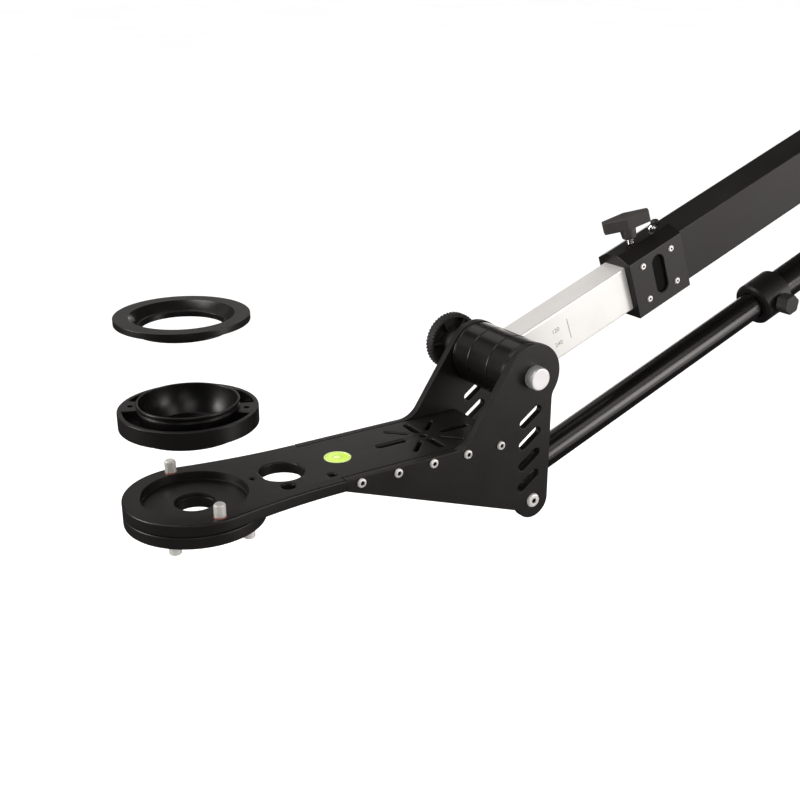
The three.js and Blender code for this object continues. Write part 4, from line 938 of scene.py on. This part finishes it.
def makeInnerTube():
    t, m = tubes, tubeMarks
    inner = tubePiece("innerTube", t["innerWide"], t["innerHigh"], t["innerStart"], t["innerEnd"])
    settle(carve(inner, crossBore("copeCutter", barrel["radius"], segments=120)), onInnerBoom, silver,
           "inner_tube")
    face = -t["innerWide"] - m["proud"]
    line = box("scaleLine", (m["lineAt"] - m["lineWide"] / 2, face, m["lineLow"]),
               (m["lineAt"] + m["lineWide"] / 2, m["lineSunk"] - t["innerWide"], m["lineTop"]), 0.02)
    settle(line, onInnerBoom, ink)
    for number, height in m["numbers"].items():
        words = bpy.data.curves.new("scaleNumber" + number, "FONT")
        words.body, words.size, words.extrude = number, m["size"], m["deep"]
        drawn = newObject("scaleNumber.drawn", words)
        mesh = plainMesh(drawn)
        bpy.data.objects.remove(drawn)
        spot = Matrix.Translation((m["numbersAt"], face + m["deep"], height))
        mesh.transform(spot @ Matrix.Rotation(math.pi / 2, 4, "X"))
        settle(newObject("scaleNumber" + number, mesh), onInnerBoom, ink)


def makeOuterTube():
    t = tubes
    outer = tubePiece("outerTube", t["outerWide"], t["outerHigh"], t["outerStart"], t["outerEnd"])
    settle(carve(outer, crossBore("shaftCutter", t["shaftR"], (reach, 0), 48)), onBoom, tubeBlack,
           "outer_tube")


# The boss is given as radii and heights from the ridge
collar = {"front": 196, "rear": 287, "lip": 10, "half": 28, "top": 35, "ridge": 45, "ridgeHalf": 10,
          "under": -42, "cornerR": 1.6, "bevel": 0.9, "slotX": 242, "slotHigh": 26, "slotLow": -27,
          "slotWide": 19, "slotEdge": 0.9, "shade": (0.04, 0.2), "wingX": 229, "wingHoleTop": 50,
          "bossAt": (280, 8), "boss": ((0, -6), (5.2, -6), (5.2, 3.4), (3.2, 4.6), (0, 4.8))}
collarScrews = {"count": 2, "first": 217, "pitch": 49, "rows": {"upper": 23.5, "lower": -23.3}, "headR": 4.2,
                "headHigh": 2, "shankR": 2, "shankLong": 3, "dome": 0.55, "socket": 0.45}
stopScrew = {"x": 267, "headR": 6, "headHigh": 6, "shankR": 3, "shankLong": 7, "dome": 0.6, "socket": 0.4}


def makeCollar():
    c, t, s, over, sharp = collar, tubes, collarScrews, 3, 0.02
    section = [(-c["half"], c["under"]), (c["half"], c["under"]), (c["half"], c["top"]),
               (c["ridgeHalf"], c["ridge"]), (-c["ridgeHalf"], c["ridge"]), (-c["half"], c["top"])]
    casting = plate("teleCollar", softened(section, c["cornerR"], keepDeg=10), c["front"], c["rear"], "x",
                    bevel=c["bevel"])
    cutters = [
        box(name, (start, -wide - slack, -high - slack), (c["rear"] + over, wide + slack, high + slack),
            sharp)
        for name, start, wide, high in (("mouthCutter", c["front"] - over, t["innerWide"], t["innerHigh"]),
                                        ("boreCutter", c["front"] + c["lip"], t["outerWide"], t["outerHigh"]))
    ]
    slotEnds = [(c["slotX"], c["slotLow"] + c["slotWide"] / 2),
                (c["slotX"], c["slotHigh"] - c["slotWide"] / 2)]
    cutters.append(plate("slotCutter", slotOutline(*slotEnds, c["slotWide"]), -c["half"] - over,
                         c["half"] + over, "y", bevel=sharp))
    for side, sign in bothSides:
        carve(casting, plate("slotFlare." + side, slotOutline(*slotEnds, c["slotWide"] + 2 * c["slotEdge"]),
                             sign * (c["half"] - c["slotEdge"]), sign * (c["half"] + over), "y",
                             bevel=c["slotEdge"]))
        # Behind each slot, a dark plate set just off the outer tube: painted shade in the slot
        outline = slotOutline((c["slotX"], c["slotLow"]), (c["slotX"], c["slotHigh"]), c["slotWide"])
        ends = [sign * (t["outerWide"] + off) for off in c["shade"]]
        settle(plate("slotShade." + side, outline, *ends, "y", bevel=sharp), onBoom, slotPaintedShade)
    cutters.append(cylinder("wingCutter", wing["stemR"] + slack, 0, c["wingHoleTop"], centre=(c["wingX"], 0),
                            segments=32))
    settle(carve(casting, *cutters), onBoom, anodised, "tele_collar")
    for side, sign in bothSides:
        for row, height in s["rows"].items():
            makeScrewRow(f"collarScrews.{side}.{row}", f"collarSocketShade.{side}.{row}", s, (s["first"], height),
                         sign * c["half"], sign, onBoom)
    stop = socketScrew("stopScrew", stopScrew, "z", (stopScrew["x"], 0), c["ridge"] + slack, 1)
    settle(stop, onBoom, steel, "collar_stop_screw")
    boss = turned("collarBoss", [(radius, c["ridge"] + up) for radius, up in c["boss"]], centre=c["bossAt"],
                  soft=0.8, segments=48)
    settle(boss, onBoom, plastic)


wing = {"half": 29.5, "tipHalf": 4.2, "midHalf": 10.9, "low": 66.8, "high": 82.8, "cornerR": 1.8,
        "bevel": 1.1, "bossLow": 53.5, "bossUp": 1.5, "bossLowR": 9, "bossHighR": 10.6, "stemR": 5,
        "stemLow": 37, "rungs": 18, "rung": 0.5, "turnDeg": -30, "markR": 3.6, "markWide": 0.6,
        "markDeep": 0.5}


def makeWingKnob():
    w = wing
    outline = [(-w["half"], -w["tipHalf"]), (0, -w["midHalf"]), (w["half"], -w["tipHalf"]),
               (w["half"], w["tipHalf"]), (0, w["midHalf"]), (-w["half"], w["tipHalf"])]
    bar = plate("wingKnob", softened(outline, w["cornerR"], keepDeg=10), w["low"], w["high"],
                bevel=w["bevel"])
    carve(bar, cylinder("wingMarkCutter", w["markR"] + w["markWide"], w["high"] - w["markDeep"],
                        w["high"] + 1, bore=w["markR"]))
    bossTop = w["low"] + w["bossUp"]
    boss = turned("wingBoss", [(0, w["bossLow"]), (w["bossLowR"], w["bossLow"]), (w["bossHighR"], bossTop),
                               (0, bossTop)], soft=0.6, segments=60)
    place = boomPlace @ Matrix.Translation((collar["wingX"], 0, 0))
    onWing = (place @ Matrix.Rotation(math.radians(w["turnDeg"]), 4, "Z"), "wing_knob")
    settle(together(bar, boss), onWing, wingPlastic, "tele_wing_knob")
    rungs = [corner for height in range(w["stemLow"], w["stemLow"] + w["rungs"])
             for corner in ((w["stemR"], height), (w["stemR"] - w["rung"], height + w["rung"]))]
    stem = turned("wingStem", [(0, w["stemLow"]), *rungs, (0, w["bossLow"] + w["bossUp"])], soft=0.05,
                  segments=32)
    settle(stem, onWing, ("bright_steel", steel[1]))


# The weight's face is given as radii and depths, from the bore outwards
rear = {"blockStart": 1500.3, "blockLong": 60, "blockEdge": 1.5, "plugLong": 50, "barR": 14, "barHalf": 180,
        "weightR": 100, "weightStart": 30, "weightThick": 25, "face": ((34, 0), (37, 4), (86, 4), (89, 0)),
        "collarStart": 55.7, "collarR": 25, "collarWide": 20, "screwSunk": 1.6}
barCollarScrew = {"headR": 3.6, "headHigh": 2, "shankR": 3, "shankLong": 6, "dome": 0.3, "socket": 0.55}


def makeRearEnd():
    r, t = rear, tubes
    wide, high = t["outerWide"], t["outerHigh"]
    atBar = (r["blockStart"] + r["blockLong"] / 2, 0)
    block = plate("endBlock", softened(rectangle(-wide, -high, wide, high), t["cornerR"], steps=5),
                  r["blockStart"], r["blockStart"] + r["blockLong"], "x", bevel=r["blockEdge"])
    carve(block, crossBore("barCutter", r["barR"], atBar, 64))
    off = t["wall"] + slack
    plug = box("endPlug", (t["outerEnd"] - r["plugLong"], off - wide, off - high),
               (r["blockStart"] + 1, wide - off, high - off))
    settle(together(block, plug), onBoom, anodised, "end_block")
    bar = cylinder("weightBar", r["barR"], -r["barHalf"], r["barHalf"], "y", atBar, soft=1.6, segments=72)
    barSteel = finish("barTurnedSteel", **steelLook, centre=boomPlace @ Vector((atBar[0], 0, 0)), **roundY)
    settle(bar, onBoom, barSteel, "weight_bar")
    bore = r["barR"] + slack
    face = [(bore, 0), *r["face"], (r["weightR"], 0)]
    for side, sign in bothSides:
        start, end = r["weightStart"], r["weightStart"] + r["weightThick"]
        profile = [(radius, sign * (start + deep)) for radius, deep in face]
        profile += [(radius, sign * (end - deep)) for radius, deep in reversed(face)]
        disc = turned("counterWeight." + side, profile, "y", atBar, soft=1.4, segments=144)
        settle(disc, (boomPlace, f"weight_{side}_body"), castIron, "weight_" + side)
        start, end = r["collarStart"], r["collarStart"] + r["collarWide"]
        ring = cylinder("barCollar." + side, r["collarR"], sign * start, sign * end, "y", atBar, bore=bore,
                        soft=1, segments=96)
        screw = socketScrew("barCollarScrew." + side, barCollarScrew, "z",
                            (atBar[0], sign * (start + end) / 2), r["collarR"] - r["screwSunk"], 1)
        settle(together(ring, screw), (boomPlace, f"collar_{side}_body"), barSteel, "bar_collar_" + side)


saddle = {"halfLong": 70, "halfHigh": 30, "cornerR": 8, "foot": 24.3, "thick": 5, "bevel": 0.7, "bossR": 34,
          "bossEnd": 33.7, "boreR": 10.3}
saddleScrews = {"x": 58, "rows": {"upper": 19, "lower": -19}, "headR": 4.4, "headHigh": 3, "shankR": 2.5,
                "shankLong": 3, "dome": 0.5, "socket": 0.5}


def makeSaddles():
    s, screws = saddle, saddleScrews
    outline = rectangle(reach - s["halfLong"], -s["halfHigh"], reach + s["halfLong"], s["halfHigh"])
    for side, sign in bothSides:
        face = sign * (s["foot"] + s["thick"])
        pad = plate("saddle." + side, softened(outline, s["cornerR"], steps=6), sign * s["foot"], face, "y",
                    [ringOutline(reach, 0, s["boreR"])], s["bevel"])
        boss = cylinder("saddleBoss." + side, s["bossR"], sign * s["foot"], sign * s["bossEnd"], "y",
                        (reach, 0), bore=s["boreR"], soft=1, segments=96)
        settle(together(pad, boss), onBoom, anodised, "saddle_" + side)
        for row, height in screws["rows"].items():
            screw = socketScrew(f"saddleScrews.{side}.{row}", screws, "y", (reach - screws["x"], height),
                                face, sign)
            settleRepeated(screw, rowOfPieces, onBoom, steel, Count=2, Step=(2 * screws["x"], 0, 0))


makeInnerTube()
makeOuterTube()
makeCollar()
makeWingKnob()
makeRearEnd()
makeSaddles()
print("boom made")

smallKnob = {"lobeDeep": 1.4, "bevel": 1.4, "stemR": 5, "stemIn": 1}
knobLobes = 6


# A small lobed knob and its stem, which starts inside it
def makeSmallKnob(name, stemName, outline, axis, centre, ends, stemEnds, where, nodeName):
    settle(plate(name, outline, *ends, axis, bevel=smallKnob["bevel"]), where, plastic, nodeName)
    stem = cylinder(stemName, smallKnob["stemR"], *stemEnds, axis, centre, soft=0.3, segments=36)
    settle(stem, where, steel)


# Each eye gives its radius, its half width, its bore, and where its spigot in the tube starts and ends
rod = {"frontR": 19, "rearR": 22.5, "wall": 2.4, "frontEnd": 776, "rearFront": 475, "fit": 0.4, "clampR": 30,
       "clampStart": 464.7, "clampLong": 50, "clampLip": 10, "clampEdge": 3, "knobR": 14, "knobLong": 18,
       "knobClear": 2,
       "frontEye": {"radius": 20, "half": 50.7, "bore": 6.2, "spigotR": 16.3, "spigot": (12, 62)},
       "rearEye": {"radius": 26, "half": 33.7, "bore": 8.3, "spigotR": 19.1, "spigot": (-81, -14)}}


def makeRodEnd(end, tube, atX, eyeSoft, where):
    eye = rod[end + "Eye"]
    cope = crossBore(end + "EyeCutter", eye["radius"], (atX, 0))
    settle(carve(tube, cope), where, rodGloss, f"rod_{end}_tube")
    ring = cylinder(f"rod{end.title()}Eye", eye["radius"], -eye["half"], eye["half"], "y", (atX, 0),
                    eye["bore"], eyeSoft, 96)
    spigot = cylinder(end + "Spigot", eye["spigotR"], *[atX + off for off in eye["spigot"]], "x", soft=0.6,
                      segments=64)
    settle(together(ring, spigot), where, anodised, f"rod_{end}_eye")


def makeRod():
    r = rod
    tube = cylinder("rodFrontTube", r["frontR"], 0, r["frontEnd"], "x", bore=r["frontR"] - r["wall"],
                    soft=0.4, segments=96)
    makeRodEnd("front", tube, 0, 1, onRodFront)
    tube = cylinder("rodRearTube", r["rearR"], r["rearFront"], reach, "x", bore=r["frontR"] + r["fit"],
                    soft=0.5, segments=96)
    makeRodEnd("rear", tube, reach, 1.2, onRodRear)

    start, end, edge, lip = r["clampStart"], r["clampStart"] + r["clampLong"], r["clampEdge"], r["clampLip"]
    clamp = turned("rodClamp", [
        (r["frontR"] + r["fit"], start), (r["clampR"] - edge, start), (r["clampR"], start + edge),
        (r["clampR"], end - edge), (r["clampR"] - edge, end), (r["rearR"] + slack, end),
        (r["rearR"] + slack, start + lip), (r["frontR"] + r["fit"], start + lip),
    ], "x", soft=0.8, segments=120)
    atKnob, face = (start + r["clampLong"] / 2, 0), -r["clampR"] - r["knobClear"]
    carve(clamp, cylinder("clampStemCutter", smallKnob["stemR"] + slack, face, -r["frontR"], "y", atKnob,
                          segments=36))
    settle(clamp, onRodRear, anodised, "rod_clamp")
    outline = lobedOutline(*atKnob, r["knobR"], knobLobes, smallKnob["lobeDeep"], 96)
    makeSmallKnob("rodClampKnob", "rodClampStem", outline, "y", atKnob, (face - r["knobLong"], face),
                  (face - smallKnob["stemIn"], -r["rearR"] - slack), (rodPlace, "rod_knob"), "rod_clamp_knob")


makeRod()
print("rod made")

yoke = {"cheekInner": 34, "cheekThick": 14, "topR": 36, "footHalf": 44, "foot": 58.6, "cheekEdge": 1.2,
        "cornerR": 3, "out": 48.3, "shaftR": 10, "headR": 17, "headHigh": 8, "tableR": 66, "tableLow": 40.3,
        "tableHigh": 18, "tableEdge": 1.8, "socketR": 20.3, "socketDeep": 13, "brakeR": 30,
        "brakeLobeDeep": 5, "brakeHubR": 15, "brakeHub": 12, "brakeWide": 14, "brakeSunk": 7, "panR": 12,
        "panStart": 69, "panLong": 24, "stemStart": 38, "stemHole": (36, 70)}
cheekScrews = {"x": -28, "up": 16, "headR": 5, "headHigh": 4, "shankR": 3, "shankLong": 3, "dome": 0.35,
               "socket": 0.5}
rodPivotBolt = {"headR": 13, "headHigh": 9, "shankR": 8, "shankLong": 105.6, "dome": 0.2, "socket": 0.48}


def makeYoke():
    y, b = yoke, rodPivotBolt
    out, knobEnd = y["out"], y["out"] + y["brakeHub"] + y["brakeWide"]
    hubEnd, stemZ = knobEnd - y["brakeSunk"], y["tableLow"] + y["tableHigh"] / 2
    atShaft, atRod = (0, mainAxis.z * 1000), (rodRearPivot.x * 1000, rodRearPivot.z * 1000)
    rise = atShaft[1] - y["foot"]
    lean = math.degrees(math.asin((y["footHalf"] - y["topR"]) / math.hypot(rise, y["footHalf"])))
    outline = [(-y["footHalf"], y["foot"]), (y["footHalf"], y["foot"]),
               *arc(*atShaft, y["topR"], lean, 180 - lean)]
    for side, sign in bothSides:
        cheek = plate("yokeCheek." + side, softened(outline, y["cornerR"], keepDeg=30),
                      sign * y["cheekInner"], sign * (y["cheekInner"] + y["cheekThick"]), "y",
                      [ringOutline(*atShaft, y["shaftR"] + slack), ringOutline(*atRod, b["shankR"] + slack)],
                      y["cheekEdge"])
        settle(cheek, onYoke, anodised, "yoke_cheek_" + side)
        screw = socketScrew("cheekScrews." + side, cheekScrews, "y",
                            (cheekScrews["x"], y["foot"] + cheekScrews["up"]),
                            sign * (y["cheekInner"] + y["cheekThick"]), sign)
        settleRepeated(screw, rowOfPieces, onYoke, steel, Count=3, Step=(-cheekScrews["x"], 0, 0))
    table = turned("turntable", [
        (0, y["tableLow"] + y["socketDeep"]), (y["socketR"], y["tableLow"] + y["socketDeep"]),
        (y["socketR"], y["tableLow"]), (y["tableR"], y["tableLow"]),
        (y["tableR"], y["tableLow"] + y["tableHigh"]), (0, y["tableLow"] + y["tableHigh"]),
    ], soft=y["tableEdge"], segments=144)
    carve(table, cylinder("panStemCutter", smallKnob["stemR"] + slack, *y["stemHole"], "x", (0, stemZ),
                          segments=36))
    settle(table, onYoke, anodised, "turntable")

    shaft = turned("mainShaft", [
        (0, -out - y["headHigh"]), (y["headR"], -out - y["headHigh"]), (y["headR"], -out),
        (y["shaftR"], -out), (y["shaftR"], hubEnd), (0, hubEnd),
    ], "y", atShaft, soft=1.2, segments=72)
    settle(shaft, onYoke, shaftSteel, "main_shaft")
    grip = plate("tiltBrakeKnob", lobedOutline(*atShaft, y["brakeR"], knobLobes, y["brakeLobeDeep"]),
                 out + y["brakeHub"], knobEnd, "y", bevel=2.2)
    hub = cylinder("tiltBrakeHub", y["brakeHubR"], out, hubEnd, "y", atShaft, y["shaftR"] + slack, 0.8, 60)
    settle(together(grip, hub), (toMetres, "tilt_knob"), plastic, "tilt_brake_knob")

    bolt = socketScrew("rodPivotBolt", b, "y", atRod, -out, -1)
    nut = hexNut("rodPivotNut", b, atRod, out, 12, 0.8)
    settle(together(bolt, nut), onYoke, steel, "rod_pivot_bolt")

    outline = lobedOutline(0, stemZ, y["panR"], knobLobes, smallKnob["lobeDeep"])
    makeSmallKnob("panLockKnob", "panLockStem", outline, "x", (0, stemZ),
                  (y["panStart"], y["panStart"] + y["panLong"]),
                  (y["stemStart"], y["panStart"] + smallKnob["stemIn"]), (toMetres, "pan_knob"),
                  "pan_lock_knob")


# The step round the base is given inwards and upwards
baseSizes = {"radius": 62, "high": 40, "step": ((0, 12), (1.2, 13), (1.2, 15), (0, 16)), "bushOuter": 10.9,
             "bushR": 4.9, "bushHigh": 22, "mouth": 0.6, "threads": 17, "threadFrom": 0.8, "pitch": 1.2,
             "threadDeep": 0.5, "spindleR": 20, "socketLow": 25.6}


def makeBase():
    b = baseSizes
    bushR, spindleR = b["bushOuter"] + slack, b["spindleR"] + slack
    base = turned("panBase", [
        (bushR, 0), (b["radius"], 0), *[(b["radius"] - inwards, up) for inwards, up in b["step"]],
        (b["radius"], b["high"]), (spindleR, b["high"]), (spindleR, b["socketLow"]), (bushR, b["socketLow"]),
    ], soft=1.2, segments=144)
    settle(base, onBase, anodised, "pan_base")
    threads, height = [], b["threadFrom"]
    for _ in range(b["threads"]):
        threads += [(b["bushR"], height), (b["bushR"], height + b["pitch"] / 3),
                    (b["bushR"] + b["threadDeep"], height + b["pitch"] * 2 / 3)]
        height += b["pitch"]
    bush = turned("tripodBush", [
        (b["bushOuter"], b["bushHigh"]), (b["bushOuter"], 0), (b["bushR"] + b["mouth"], 0), *threads,
        (b["bushR"], b["bushHigh"]),
    ], soft=0.1, segments=48)
    settle(bush, onBase, brass, "tripod_bush")


makeYoke()
makeBase()
print("yoke and base made")

# The solids that stay inside the others keep their shape and take a finish
for nodeName, surface in (("slide_guide", plastic), ("inner_plug", plastic), ("pan_spindle", shaftSteel)):
    kept = frame["nodes"][nodeName].data
    kept.materials.clear()
    kept.materials.append(surface[1])
